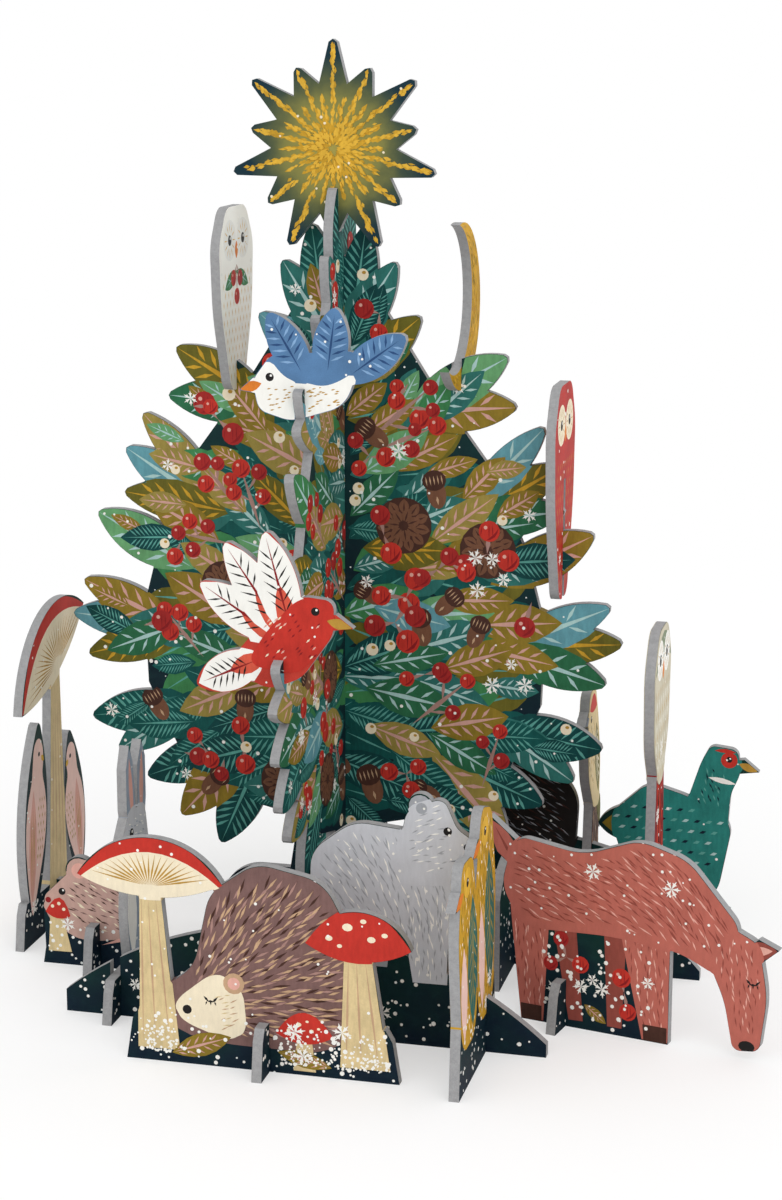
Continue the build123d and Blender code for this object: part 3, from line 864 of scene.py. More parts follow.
def leaf_rows(sheet, half_width, rings, step, length, mix, low_mix):
    """Rows of leaves that point outwards, from the rim of the foliage to the trunk."""
    heights = [0.12 + step * number for number in range(int(0.84 / step))]
    for ring in rings:
        for up in heights[::2] + heights[1::2]:
            for side in (-1, 1):
                at = up + draw.uniform(-0.2, 0.4) * step
                along = leaf_way(at, 24, side)
                reach = draw.uniform(*length) * (1 - 0.3 * at)
                middle = Vector((side * ring * core_width(at) * half_width, TREE_HEIGHT * at))
                kind = draw.choice(mix if 0.3 < at < 0.84 else low_mix)
                for shrink in (1.0, 0.75, 0.55):
                    half = along * reach * shrink / 2
                    width = reach * shrink * draw.uniform(0.36, 0.48)
                    if foliage(sheet, middle - half, middle + half, width, kind, True):
                        break


def leaf_ground(sheet):
    """Plain leaves close together behind the rest, so that little bare ground shows."""
    places = [(row, column) for first in range(4) for row in range(first // 2, 24, 2)
              for column in range(first % 2 - 10, 11, 2)]
    for row, column in places:
        x, z = (column + 0.5 * (row % 2)) * 9 + draw.uniform(-1, 1), 30 + 9 * row
        along = leaf_way(z / TREE_HEIGHT, 30, x)
        colour = draw.choice((FIR, FIR, TEAL_LEAF, GREEN, DARK_OLIVE)) if z > 75 else FIR
        for reach in (10.0, 7.0, 5.0):
            root, tip = Vector((x, z)) - along * reach, Vector((x, z)) + along * reach
            leaf = sheet.leaf(root, tip, reach, colour, True, True)
            if leaf:
                sheet.stroke(root.lerp(tip, 0.05), root.lerp(tip, 0.95), 0.7, NEEDLE, over=leaf)
                break


def print_tree(board, place, half_width, lobes, kinds):
    """Foliage of a tree panel: leaves, then twigs, seeds, berries and snow."""
    sheet = Print(board, place, night_ground("#0c1d2b", "#0f3230", 0.25, 0.06))
    leaf_ground(sheet)
    leaf_lobes(sheet, half_width, lobes, kinds)
    leaf_rows(sheet, half_width, (0.92, 0.68, 0.42, 0.16), 0.055, (28, 36),
              ("fir", "teal", "olive", "green"), ("fir",))
    leaf_rows(sheet, half_width, (0.8, 0.54, 0.28), 0.066, (26, 36),
              ("olive", "olive", "olive", "olive", "green", "mist", "gold", "fir"),
              ("fir", "fir", "olive", "green", "teal"))
    for _ in range(TWIGS):
        x, z = in_tree(half_width, 0.2, 0.88, 0.75)
        lean = math.radians(draw.uniform(-10, 75))
        reach = draw.uniform(18, 28)
        tip = (x + math.copysign(reach * math.cos(lean), x), z + reach * math.sin(lean))
        sheet.twig((x, z), tip, draw.choice((2, 3, 4)), draw.uniform(2.4, 3.2))
    for _ in range(ROSETTES):
        sheet.rosette(in_tree(half_width, 0.2, 0.75, 0.85), draw.uniform(7.5, 9.5))
    for _ in range(ACORNS):
        at = in_tree(half_width, 0.2, 0.88, 0.85)
        sheet.acorn(at, draw.uniform(5.5, 7.0), draw.uniform(200, 340))
    for _ in range(CLUSTERS):
        at = in_tree(half_width, 0.16, 0.95, 0.97)
        sheet.cluster(at, draw.choice((1, 2, 3)), draw.uniform(2.8, 4.0))
    for _ in range(PALE_BERRIES):
        sheet.pale_berry(in_tree(half_width, 0.15, 0.9, 1.0), draw.uniform(1.6, 2.3))
    sheet.snow((-half_width, 2.0), (half_width, TREE_HEIGHT), 300, 38, WHITE, (0.25, 0.7))
    sheet.finish("tree_print")


def print_star():
    """Star: rays of gold crayon from the middle to each point."""
    middle = Vector((0.0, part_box("star_topper")[1].z / MM - STAR_RADIUS))
    place = facing(0.0, STAR_Y)
    sheet = Print("star_topper", place, glow_ground(place @ Vector((0.0, middle.y, 0.0)), 0.03))
    for crayon, crumbs in ((GOLD, 1.6), (YELLOW, 0.9)):
        for ray in range(28):
            along = polar(math.radians(90 + ray * 360 / 28))
            across = crosswise(along)
            reach = (32.0, 15.0, 26.0, 15.0)[ray % 4]
            for _ in range(int(reach * crumbs)):
                share = draw.uniform(0.05, 1.0)
                foot = middle + along * reach * share + across * draw.gauss(0.0, 0.4)
                end = foot + along * draw.uniform(1.4, 3.0) + across * draw.uniform(-0.25, 0.25)
                sheet.stroke(foot, end, draw.uniform(0.6, 1.2), crayon, checked=True)
    low, high = middle.y - STAR_RADIUS, middle.y + STAR_RADIUS
    sheet.snow((-STAR_RADIUS, low), (STAR_RADIUS, high), 34, 0, CREAM, FINE_SNOW)
    sheet.finish("star_print")


def print_owl(board, x, height, slot, ground, feather, mask, leaves):
    """Perched owl: feather flecks in rows, two masked eyes, a beak and, on one, a sprig under it."""
    width = OWL_WIDTH
    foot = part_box(board)[0].z / MM
    sheet = Print(board, crossing(x, 0.0), ground)
    for row in range(12):
        up = 0.1 + 0.05 * row
        for column in range(-4, 5):
            at = Vector((column * 3.4 + (row % 2) * 1.7, foot + height * up))
            sheet.stroke(at, at + Vector((0.0, -2.6)), 0.5, feather, checked=True)
    head = foot + height * 0.82
    for side in (-1, 1):
        sheet.owl_eye((side * width * 0.2, head), width * 0.19, mask, (2.6, width * 0.17), feather, 1.7)
    sheet.leaf((0.0, head - 0.5), (0.0, head - 6.0), 3.0, ORANGE)
    if leaves:
        for side in (-1, 1):
            sheet.veined_leaf((0.0, head - 10), (side * 12.0, head - 15), 5.0, GREEN, PALE_MIST, 3, True)
        for at in ((-3.4, head - 12), (3.4, head - 12.4), (0.0, head - 18)):
            sheet.stroke((0.0, head - 8), at, 0.7, TWIG)
            sheet.berry(at, 2.6)
    sheet.snow((-width / 2, foot), (width / 2, foot + height), 26, 2, WHITE, flake_size=(1.6, 2.4))
    sheet.finish(slot)


def print_moon():
    """Crescent moon: gold with curved flecks."""
    middle = Vector((0.0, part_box("crescent_moon")[0].z / MM + MOON_RADIUS))
    sheet = Print("crescent_moon", crossing(MOON_X, 0.0), plain_ground("#c99a22", 0.2))
    for _ in range(420):
        angle = math.radians(draw.uniform(-130, 90))
        radius = draw.uniform(12.0, 25.5)
        ahead = angle + draw.uniform(2.0, 5.0) / radius
        start, end = middle + polar(angle) * radius, middle + polar(ahead) * radius
        width = draw.uniform(0.35, 0.8)
        sheet.stroke(start, end, width, draw.choice((YELLOW, OLIVE, OCHRE, GOLD)), checked=True)
    sheet.finish("gold_print")


def print_blue_bird():
    """Blue bird: pale breast, barred wings and tail."""
    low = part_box("blue_bird")[1].z / MM - BLUE_BIRD_TOP
    sheet = Print("blue_bird", facing(0.0, BLUE_BIRD_Y), plain_ground("#587fa9", 0.16))
    for belly in ([(-1.8, -1), (-5, -1), (-12.4, 2), (-15, 8), (-15, 13), (-10, 18.2), (-6, 13.2),
                   (-1.8, 11.2)],
                  [(1.8, 11), (7, 10), (12, 11.5), (17.4, 15), (14.2, 5.6), (8, 1.6), (1.8, -1)]):
        sheet.patch([(x, low + z) for x, z in curve(belly)], WHITE)
    sheet.patch([(-1.9, low + 11.2), (1.9, low + 11), (1.9, low + 5.4), (-1.9, low + 5.4)], WHITE)
    for _ in range(60):
        at = Vector((draw.uniform(-11, 12), low + draw.uniform(2.5, 10.5)))
        sheet.stroke(at, at + Vector((1.4, 0.3)), 0.45, OCHRE, checked=True)
    for root, tip in (((3, 11), (-9.5, 31.8)), ((8, 11), (11, 33.5)), ((12, 12), (31.5, 26))):
        root, tip = Vector(root) + Vector((0.0, low)), Vector(tip) + Vector((0.0, low))
        along = tip - root
        across = crosswise(along).normalized()
        for bar in range(7):
            share = 0.34 + 0.58 * bar / 7
            reach = 5.0 * (1 - (2 * share - 1) ** 2)
            for side in (-1, 1):
                foot = root + along * share
                end = foot + along * 0.1 + across * side * reach
                sheet.stroke(foot + across * side * 0.5, end, 0.75, (SKY, DARK_BLUE)[bar % 2])
        sheet.stroke(root.lerp(tip, 0.2), root.lerp(tip, 0.95), 0.7, DARK_BLUE)
    sheet.leaf((-12.0, low + 11.2), (-18.6, low + 9.2), 3.2, ORANGE)
    sheet.eye((-9.4, low + 13.2), 1.3, COAL)
    sheet.snow((-15, low), (32, low + 34), 20, 0, WHITE, FINE_SNOW)
    sheet.finish("blue_print")


def print_red_bird():
    """Red bird: white wing feathers with dark quills, and a flecked red breast."""
    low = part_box("red_bird")[1].z / MM - RED_BIRD_TOP
    sheet = Print("red_bird", facing(0.0, RED_BIRD_Y), plain_ground("#c43f33", 0.2))
    for root, tip in (((-4, 10), (-24.4, 0.8)), ((3, 14), (-23.6, 31)), ((4, 14), (-16.2, 43.4)),
                      ((5, 14), (-3.8, 47.2))):
        root, tip = Vector(root) + Vector((0.0, low)), Vector(tip) + Vector((0.0, low))
        along = tip - root
        across = crosswise(along).normalized()
        sheet.leaf(root, tip + along * 0.03, 14.0, WHITE)
        sheet.leaf(root, root.lerp(tip, 0.55), 6.0, CORAL)
        for bar in range(6):
            share = 0.3 + 0.55 * bar / 6
            reach = 5.0 * (1 - (2 * share - 1) ** 2) * 0.85
            for side in (-1, 1):
                foot = root + along * share
                sheet.stroke(foot, foot + along * 0.12 + across * side * reach, 0.6, COAL)
        sheet.stroke(root.lerp(tip, 0.15), root.lerp(tip, 0.96), 0.8, DARK_RED)
    body = [(-9, 8), (-2.5, 18), (7, 28), (16.4, 27), (16.4, 18.5), (7, 7), (2.4, 6)]
    sheet.rounded([(x, low + z) for x, z in body], RED)
    for _ in range(36):
        at = Vector((draw.uniform(-4, 14), low + draw.uniform(9, 24)))
        fleck = draw.choice((PINK, DARK_RED, CREAM))
        sheet.stroke(at, at + Vector((-1.2, -1.2)), 0.55, fleck, checked=True)
    sheet.leaf((15.0, low + 22.0), (22.4, low + 20.2), 3.2, OCHRE)
    sheet.eye((11.4, low + 24.6), 1.3, COAL)
    sheet.snow((-25, low), (18, low + 48), 20, 0, WHITE, FINE_SNOW)
    sheet.finish("red_print")


def print_hedgehog():
    """Hedgehog with a coat of quills, between two toadstools on a snowy bank."""
    sheet = Print("hedgehog_mound", facing(0.0, HEDGEHOG_Y), night_ground())
    coat = [(-26, 20), (-13, 30), (-8, 53), (6, 63), (26, 59), (38, 36), (32, 8), (-10, 8), (-24, 14)]
    sheet.rounded(coat, MAUVE)
    face = (-16.0, 17.0)
    quills = [(-13, 29), (-7, 52), (6, 61), (24.5, 57.5), (36, 36), (31, 9.5), (-6, 9.5), (-12, 20)]
    sheet.fur(quills, 2.3, 5.2, 0.75, (TAN, BARK, TAN, TWIG),
              lambda x, y: math.degrees(math.atan2(y - face[1], x - face[0])))
    sheet.rounded([(-18.6, 18.5), (-6.5, 28.5), (1, 24), (2, 12), (-3, 9.2), (-16, 13.6)], CREAM)
    sheet.fur([(-9, 24), (0, 23), (1, 12), (-5, 11)], 1.8, 2.4, 0.4, (TAN, STEM), lambda x, y: 20)
    sheet.disc((-1.0, 26.0), 3.2, TAN, 14)
    sheet.disc((-1.0, 26.0), 1.9, PINK, 12)
    sheet.disc((-15.2, 16.8), 1.4, COAL, 12)
    sheet.eye((-8.0, 20.6), 1.9, COAL, asleep=True)
    sheet.toadstool((-24, 4), (-26, 68), 44, 18, 6, spotted=False)
    sheet.toadstool((38, 4), (36, 51), 31, 15, 7)
    sheet.toadstool((20, 1.5), (20, 18), 17, 8, 3)
    sheet.veined_leaf((-20, 3.0), (-2, 9.5), 7.0, OLIVE, VEIN)
    sheet.veined_leaf((28, 3.0), (12, 6.5), 5.0, OLIVE, VEIN)
    for stem in (-24, 20, 38):
        sheet.spray((stem, 3.0), (4.5, 5.0), 110, WHITE)
    sheet.snow((-34, 1), (48, 15), 60, 5, WHITE)
    sheet.snow((-48, 15), (50, 68), 60, 0, WHITE, FINE_SNOW)
    sheet.finish("brown_print")


def print_bear():
    """Bear with a pale coat, on its long mound."""
    sheet = Print("bear_mound", facing(0.0, BEAR_Y), night_ground())
    legs = ([(15.6, 46), (14.6, 22), (24.4, 22), (30, 40)], [(29, 40), (29.8, 24), (36.4, 24), (38, 40)],
            [(42, 42), (45.6, 20), (54.5, 20), (55.8, 46)])
    body = [(13, 34), (14, 58), (27, 68), (47, 66), (58, 54), (57, 34), (40, 29), (24, 29)]
    head = [(40, 58), (43, 73), (54, 77), (58, 68), (64, 64), (63, 56), (54, 51), (42, 50)]
    sheet.patch(legs[1], GREY)
    for leg in (legs[0], legs[2]):
        sheet.patch(leg, PEARL)
    sheet.rounded(body, PEARL)
    sheet.fur([(15, 36), (16, 56), (27, 66), (45, 64), (55, 52), (55, 36), (40, 31), (24, 31)], 2.4, 3.6, 0.5,
              (GREY, WHITE, GREY), lambda x, y: -60 - (x - 30))
    for leg in (legs[0], legs[2]):
        sheet.fur(leg, 2.2, 3.0, 0.45, (WHITE, GREY), lambda x, y: -85)
    sheet.disc((47, 74), 3.4, GREY, 14)
    sheet.rounded(head, PEARL)
    sheet.disc((47.4, 73.4), 1.7, GREY, 12)
    sheet.fur([(42, 58), (45, 71), (53, 75), (56, 67), (56, 56), (48, 53)], 2.2, 2.6, 0.45,
              (GREY, WHITE), lambda x, y: 200)
    sheet.disc((61.6, 62.6), 1.7, COAL, 12, 0.8)
    sheet.eye((55.2, 67.0), 1.3, COAL)
    sheet.stroke((61.0, 59.0), (55.5, 57.8), 0.6, SLATE)
    sheet.snow((-64, 1), (85, 30), 190, 13, WHITE)
    sheet.snow((13, 30), (64, 77), 40, 0, WHITE, FINE_SNOW)
    sheet.finish("mound_print")


def print_hare():
    """Hare with a pale breast and pink ears."""
    sheet = Print("hare_stand", crossing(HARE_X, BEAR_Y), night_ground())
    sheet.rounded([(35, 8), (35, 32), (23, 52), (9, 48), (6, 28), (10, 8)], BLUE_GREY)
    for ear in ([(12.6, 48), (8.6, 62), (8.6, 75), (11, 80.6), (13.4, 76), (16.4, 48)],
                [(17.6, 48), (18.6, 74), (22, 79.8), (24.4, 75), (24.4, 62), (21.6, 48)]):
        sheet.patch(ear, BLUE_GREY)
    sheet.leaf((13.0, 56.0), (10.8, 78.0), 3.2, PINK)
    sheet.leaf((20.4, 56.0), (21.8, 77.6), 3.4, PINK)
    sheet.rounded([(27, 46), (24, 60), (10, 62), (0, 50), (6, 42), (18, 40)], PEARL)
    sheet.leaf((10.0, 44.0), (11.0, 14.0), 8.0, WHITE)
    sheet.fur([(34, 10), (34, 31), (23, 50), (16, 44), (16, 12)], 2.4, 3.4, 0.5,
              (PEARL, SLATE, WHITE), lambda x, y: -75)
    sheet.fur([(25, 47), (23, 58), (11, 60), (4, 51), (8, 44), (18, 42)], 2.2, 2.6, 0.45,
              (BLUE_GREY, WHITE), lambda x, y: -20)
    sheet.eye((11.4, 54.0), 1.7, COAL)
    sheet.disc((2.4, 49.6), 1.3, PINK, 10)
    sheet.snow((-10, 1), (33, 13), 50, 3, WHITE)
    sheet.snow((0, 13), (35, 80), 30, 0, WHITE, FINE_SNOW)
    sheet.finish("grey_print")


def print_twin_birds():
    """Two small yellow birds with folded wings."""
    sheet = Print("twin_birds_stand", crossing(TWIN_BIRDS_X, BEAR_Y), night_ground())
    for outline, wing, breast, head, beak in (
            ([(8, 13), (11, 48), (4, 74), (-10, 78), (-18, 58), (-12, 13)], ((0, 62), (4, 18)),
             ((-10, 48), (-7, 16)), (-5.5, 69.5), ((-11, 68.5), (-21, 66.2))),
            ([(-16, 13), (-14, 46), (-22, 68), (-36, 69), (-40, 48), (-34, 13)], ((-22, 56), (-20, 16)),
             ((-33, 44), (-31, 15)), (-29, 62), ((-34, 60.5), (-43, 58.2)))):
        sheet.rounded(outline, GOLD)
        inner = [(x * 0.9 + sum(p[0] for p in outline) / 60, y * 0.95 + 2) for x, y in outline]
        sheet.fur(inner, 2.6, 2.8, 0.6, (OLIVE, CREAM, DARK_OLIVE), lambda x, y: -80)
        sheet.veined_leaf(*wing, 13.0, TEAL_LEAF, PALE_OLIVE, 7)
        sheet.leaf(*breast, 8.0, BLUSH)
        sheet.disc(head, 4.4, YELLOW, 14)
        sheet.eye(head, 1.4, COAL)
        sheet.leaf(*beak, 3.4, ORANGE)
    sheet.snow((-38, 1), (12, 23), 60, 4, WHITE)
    sheet.snow((-38, 23), (12, 76), 40, 0, WHITE, FINE_SNOW)
    sheet.finish("yellow_print")


def print_mouse():
    """Mouse beside a small toadstool."""
    sheet = Print("mouse_mound", facing(0.0, MOUSE_Y), night_ground())
    sheet.rounded([(-86, 22), (-76, 32), (-64, 39), (-52, 34), (-52, 12), (-72, 9), (-82, 14)], DUSK)
    sheet.fur([(-80, 22), (-74, 30), (-64, 37), (-54, 33), (-54, 13), (-71, 11)], 2.2, 3.0, 0.5,
              (MAUVE, CREAM, BARK), lambda x, y: -25)
    sheet.disc((-73, 32), 4.2, DUSK, 16)
    sheet.disc((-73, 32), 2.6, PINK, 14)
    sheet.eye((-79.0, 24.6), 1.2, COAL)
    sheet.disc((-83.8, 21.4), 1.0, DARK_RED, 10)
    for whisker in (-1.5, 0.0, 1.5):
        sheet.stroke((-82.6, 20.6), (-78.6, 18.6 + whisker), 0.25, COAL)
    sheet.patch([(-83.4, 4.5), (-82.4, 17), (-80, 17), (-77, 4.5)], STEM)
    sheet.lens((-84.8, 17.4), (-76.4, 16.4), 5.6, 1.6, RED, 16)
    for at in ((-82.4, 19.4), (-80.2, 20.4), (-78.6, 18.6)):
        sheet.disc(at, 0.6, CREAM, 8)
    sheet.stroke((-53.5, 12.0), (-66.0, 7.6), 1.3, PINK)
    sheet.snow((-86, 1), (-54, 14), 40, 3, WHITE)
    sheet.finish("brown_print")


def print_leaning_bird(sheet, root, tip, front):
    """Pale bird on a pointed ground, with a folded wing and a flecked breast; front is 1 or -1."""
    root, along = Vector(root), Vector(tip) - Vector(root)
    across = crosswise(along).normalized() * front

    def at(share, out):
        return root + along * share + across * out

    body = [(0.02, -1), (0.2, 3.4), (0.36, 7.2), (0.52, 8.2), (0.64, 6.4), (0.73, 3.2), (0.8, 4),
            (0.87, 3.4), (0.92, 0.4), (0.88, -3), (0.78, -3.4), (0.7, -3.8),
            (0.58, -7.2), (0.4, -8), (0.2, -5), (0.02, -1)]
    sheet.patch([at(*point) for point in curve(body)[:-1]], BLUSH)
    sheet.lens(at(0.66, -3.0), at(0.06, -1.6), 3.2, 3.2, PINK)
    for feather in (-1.5, 0.0, 1.5):
        sheet.stroke(at(0.56, feather - 2.7), at(0.14, feather * 0.6 - 2.0), 0.5, OCHRE)
    for row in range(8):
        share = 0.32 + 0.042 * row
        for column in range(3):
            foot = at(share, 1.7 + (2.3 - 30 * (share - 0.5) ** 2) * (column + 0.5 * (row % 2)))
            sheet.stroke(foot, foot - along * 0.03, 0.6, OCHRE)
    sheet.leaf(at(0.83, 2.8), at(0.8, 5.2), 1.9, YELLOW)
    sheet.disc(at(0.84, 0.9), 0.8, COAL, 9)


def print_tall_mushroom():
    """Tall toadstool that shows its gills, between two leaning birds."""
    sheet = Print("tall_mushroom_stand", crossing(MUSHROOM_X, MUSHROOM_Y), night_ground(top=0.09))
    print_leaning_bird(sheet, (-21.6, 9.0), (-12.3, 72.2), -1)
    print_leaning_bird(sheet, (20.6, 9.0), (14.2, 62.2), 1)
    sheet.patch([(-7, 8.4), (8.2, 8.4), (6.6, 91), (0.4, 89)], STEM)
    for rib in (0.15, 0.4, 0.65, 0.88):
        sheet.stroke((-7 + 15.2 * rib, 10), (0.4 + 6.2 * rib, 82), 0.8, TAN)
    sheet.lens((-25.6, 78.4), (30.6, 102.8), 18.6, 7.4, RED, 36)
    sheet.lens((-24.6, 78.4), (29.4, 101.8), 12.6, 7.2, CREAM, 36)
    gills = Vector((6.0, 88.0))
    for gill in range(23):
        share = gill / 22
        rim = Vector((-23, 79)).lerp(Vector((28, 101)), share)
        rim += Vector((-0.4, 0.92)) * 46 * share * (1 - share)
        sheet.stroke(gills.lerp(rim, 0.15), gills.lerp(rim, 0.95), 0.55, OCHRE)
    sheet.snow((-31, 1), (28, 14), 60, 4, WHITE)
    sheet.snow((-30, 14), (30, 100), 50, 0, WHITE, FINE_SNOW)
    sheet.finish("cream_print")


def print_deer():
    """Grazing deer with a brushed coat; between its legs a night-blue ground with berries and flakes."""
    sheet = Print("deer_panel", facing(DEER_X, DEER_Y, DEER_TURN), night_ground(top=0.06))
    body = [(-30, 42), (-26, 58), (-4, 55), (14, 62), (29, 58), (46, 39), (39, 24), (28, 29), (8, 32),
            (-24, 30)]
    head = [(35, 30), (42, 40), (51, 36), (54, 20), (52, 3), (44, 2), (41, 17)]
    legs = ([(-27, 45), (-25.4, 26), (-22.6, 0.6), (-16.6, 0.6), (-15, 36)],
            [(8, 38), (16.6, 0.6), (23.4, 0.6), (23.4, 36)],
            [(-12.5, 34), (-6.8, 2.5), (-3.8, 2.5), (-6.6, 34)],
            [(4, 34), (5.6, 2.5), (8.6, 2.5), (9.6, 34)])
    for leg in legs[2:]:
        sheet.patch(leg, DARK_RUST)
    for leg in legs[:2]:
        sheet.patch(leg, RUST)
        sheet.fur(leg, 2.2, 3.2, 0.45, (DARK_RUST, PINK), lambda x, y: -85)
    for left, right in ((-22.4, -16.8), (16.8, 23.2)):
        sheet.patch([(left, 0.6), (right, 0.6), (right, 4.4), (left - 0.4, 4.4)], BARK)
    sheet.leaf((-24, 46), (-33.4, 61.6), 6.6, RUST)
    sheet.stroke((-25, 48), (-32.4, 60), 1.0, DARK_RUST)
    sheet.leaf((46, 33.2), (56.4, 34.8), 5.6, DARK_RUST)
    sheet.leaf((47, 33.2), (55, 34.6), 2.8, PINK)
    sheet.rounded(body, RUST)
    sheet.rounded(head, RUST)
    sheet.fur([(-28, 42), (-25, 56), (-4, 53), (14, 60), (28, 56), (43, 39), (38, 27), (28, 31), (8, 34),
               (-23, 32)], 2.3, 4.2, 0.5, (DARK_RUST, PINK, DARK_RUST), lambda x, y: -20 - max(0.0, x) * 1.1)
    sheet.fur([(37, 31), (42, 38), (50, 35), (52, 20), (50.5, 6), (45.5, 6), (42.5, 17)], 2.2, 2.8, 0.45,
              (DARK_RUST, PINK), lambda x, y: -80)
    sheet.disc((48.2, 4.0), 2.5, COAL, 12, 0.7)
    sheet.eye((49.6, 24.0), 1.9, COAL, asleep=True)
    sheet.cluster((-8.6, 22), 3, 2.6)
    sheet.cluster((10.0, 14.0), 2, 2.8)
    sheet.veined_leaf((-2.6, 8), (4.4, 3), 3.6, OLIVE, VEIN, 4)
    sheet.snow((-16, 1), (18, 30), 70, 6, WHITE)
    sheet.snow((-28, 30), (54, 60), 60, 2, WHITE, FINE_SNOW)
    sheet.finish("rust_print")


def print_tall_owl():
    """Tall owl on a post."""
    sheet = Print("tall_owl_stand", crossing(TALL_OWL_X, RIGHT_Y), night_ground())
    sheet.patch([(-2, 8.4), (22, 8.4), (16.4, 74), (2.6, 74)], DARK_RED)
    sheet.fur([(-1, 9), (21, 9), (15.6, 72), (3.4, 72)], 2.6, 6.0, 0.7,
              (RED, BARK, CORAL), lambda x, y: 88)
    sheet.rounded([(4, 62), (14, 62), (25, 76), (27, 100), (18, 112), (0, 112), (-9, 100), (-7, 76)], OAT)
    sheet.lens((-8.2, 99.0), (26.2, 99.0), 11.6, -3.0, SAGE, 20)
    for row in range(9):
        for column in range(7):
            at = Vector((-5 + column * 4.6 + (row % 2) * 2.3, 66 + row * 3.5))
            sheet.stroke(at, at + Vector((0.0, -3.4)), 0.8, (OCHRE, WHITE)[row % 2], checked=True)
    for side in (-1, 1):
        sheet.owl_eye((9 + side * 7.0, 102.5), 6.4, WHITE, (2.8, 5.8), OCHRE, 1.9)
    sheet.leaf((9, 101), (9, 95), 3.2, ORANGE)
    sheet.snow((-9, 1), (28, 14), 40, 3, WHITE)
    sheet.snow((-8, 14), (26, 110), 50, 2, WHITE, FINE_SNOW)
    sheet.finish("owl_print")


def print_back_mound():
    """Badger and pheasant on the mound behind the tree."""
    sheet = Print("back_mound", facing(0.0, BACK_Y), night_ground())
    badger = [(74, 26), (75, 46), (62, 60), (48, 58), (38, 49), (26, 43), (28, 35), (42, 30), (56, 24)]
    sheet.rounded(badger, COAL)
    sheet.fur([(72, 28), (73, 46), (61, 58), (49, 56), (44, 46), (46, 32), (58, 26)], 2.4, 4.0, 0.5,
              (SLATE, GREY, BARK), lambda x, y: -30)
    sheet.lens((27.4, 39.6), (46, 51.6), 1.6, 1.6, WHITE, 14)
    sheet.lens((27.8, 37.2), (44, 37.6), 1.4, 1.4, WHITE, 14)
    sheet.disc((27.8, 39.2), 1.3, COAL, 10)
    sheet.eye((36.4, 41.8), 1.1, BARK)
    sheet.disc((46.4, 52.6), 2.4, WHITE, 12)
    sheet.leaf((104, 37.6), (83.0, 37.0), 11.0, OLIVE)
    sheet.rounded([(85, 40), (98, 52), (112, 48), (126, 40), (121, 12), (94, 14)], TEAL)
    sheet.rounded([(110, 44), (115, 60), (118, 66), (127, 65), (128, 57), (125, 50), (124, 34)], TEAL)
    for row in range(9):
        for column in range(11):
            at = Vector((87 + column * 3.8 + (row % 2) * 1.9, 15 + row * 3.6))
            if inside(*at, [(87, 40), (98, 50), (124, 40), (119, 15), (96, 16)]):
                fleck = (NEEDLE, PALE_MIST, NIGHT)[(row + column) % 3]
                sheet.stroke(at, at + Vector((-2.4, -0.8)), 1.1, fleck)
    sheet.fur([(113, 46), (117, 59), (124, 57), (122, 44)], 1.8, 2.2, 0.5, (NEEDLE, NIGHT), lambda x, y: -70)
    sheet.lens((117.6, 55.2), (126.6, 53.4), 0.9, 0.9, WHITE, 12)
    sheet.disc((124.2, 61.4), 2.7, RED, 14)
    sheet.lens((119.4, 64.4), (126.4, 64.0), 1.0, 0.4, RED, 12)
    sheet.eye((124.2, 61.6), 1.0, COAL)
    sheet.leaf((127.4, 60.4), (133.4, 58.2), 2.6, OCHRE)
    sheet.snow((6, 1), (126, 30), 150, 11, WHITE)
    sheet.snow((26, 26), (128, 66), 40, 0, WHITE, FINE_SNOW)
    sheet.finish("mound_print")


def print_woodpecker():
    """Woodpecker on a stump."""
    sheet = Print("woodpecker_stand", crossing(WOODPECKER_X, BACK_Y), night_ground())
    sheet.patch([(-3.4, 13.4), (12.8, 13.4), (10.6, 55), (1.6, 55)], BARK)
    sheet.fur([(-3, 14), (12.4, 14), (10, 54), (2.2, 54)], 2.4, 6.0, 0.6, (NUT, TAN, NUT), lambda x, y: 92)
    sheet.leaf((8.2, 48), (14.4, 31.4), 6.6, DARK_OLIVE)
    sheet.rounded([(12, 40), (13, 56), (7, 72), (1, 83), (-10, 83), (-13, 71), (-10, 54), (0, 42)], STEM)
    sheet.veined_leaf((3, 70), (10, 44), 9.0, DARK_OLIVE, CREAM, 7)
    sheet.fur([(-9, 55), (-12, 70), (-6, 74), (2, 70), (0, 46)], 2.3, 2.2, 0.6,
              (OCHRE, BARK, CREAM), lambda x, y: -80)
    sheet.lens((-10.2, 77.2), (3.6, 75.8), 5.0, 1.2, RED, 18)
    sheet.eye((-7.0, 73.6), 1.2, COAL)
    sheet.leaf((-11.6, 75.2), (-17.4, 74.1), 2.8, SLATE)
    sheet.snow((-17, 1), (16, 15), 40, 3, WHITE)
    sheet.finish("gold_print")


def print_plain(board, place, low, high, dots, flakes):
    """A foot or low mound that only carries the night ground and snow."""
    sheet = Print(board, place, night_ground())
    sheet.snow(low, high, dots, flakes, WHITE)
    sheet.finish("mound_print")


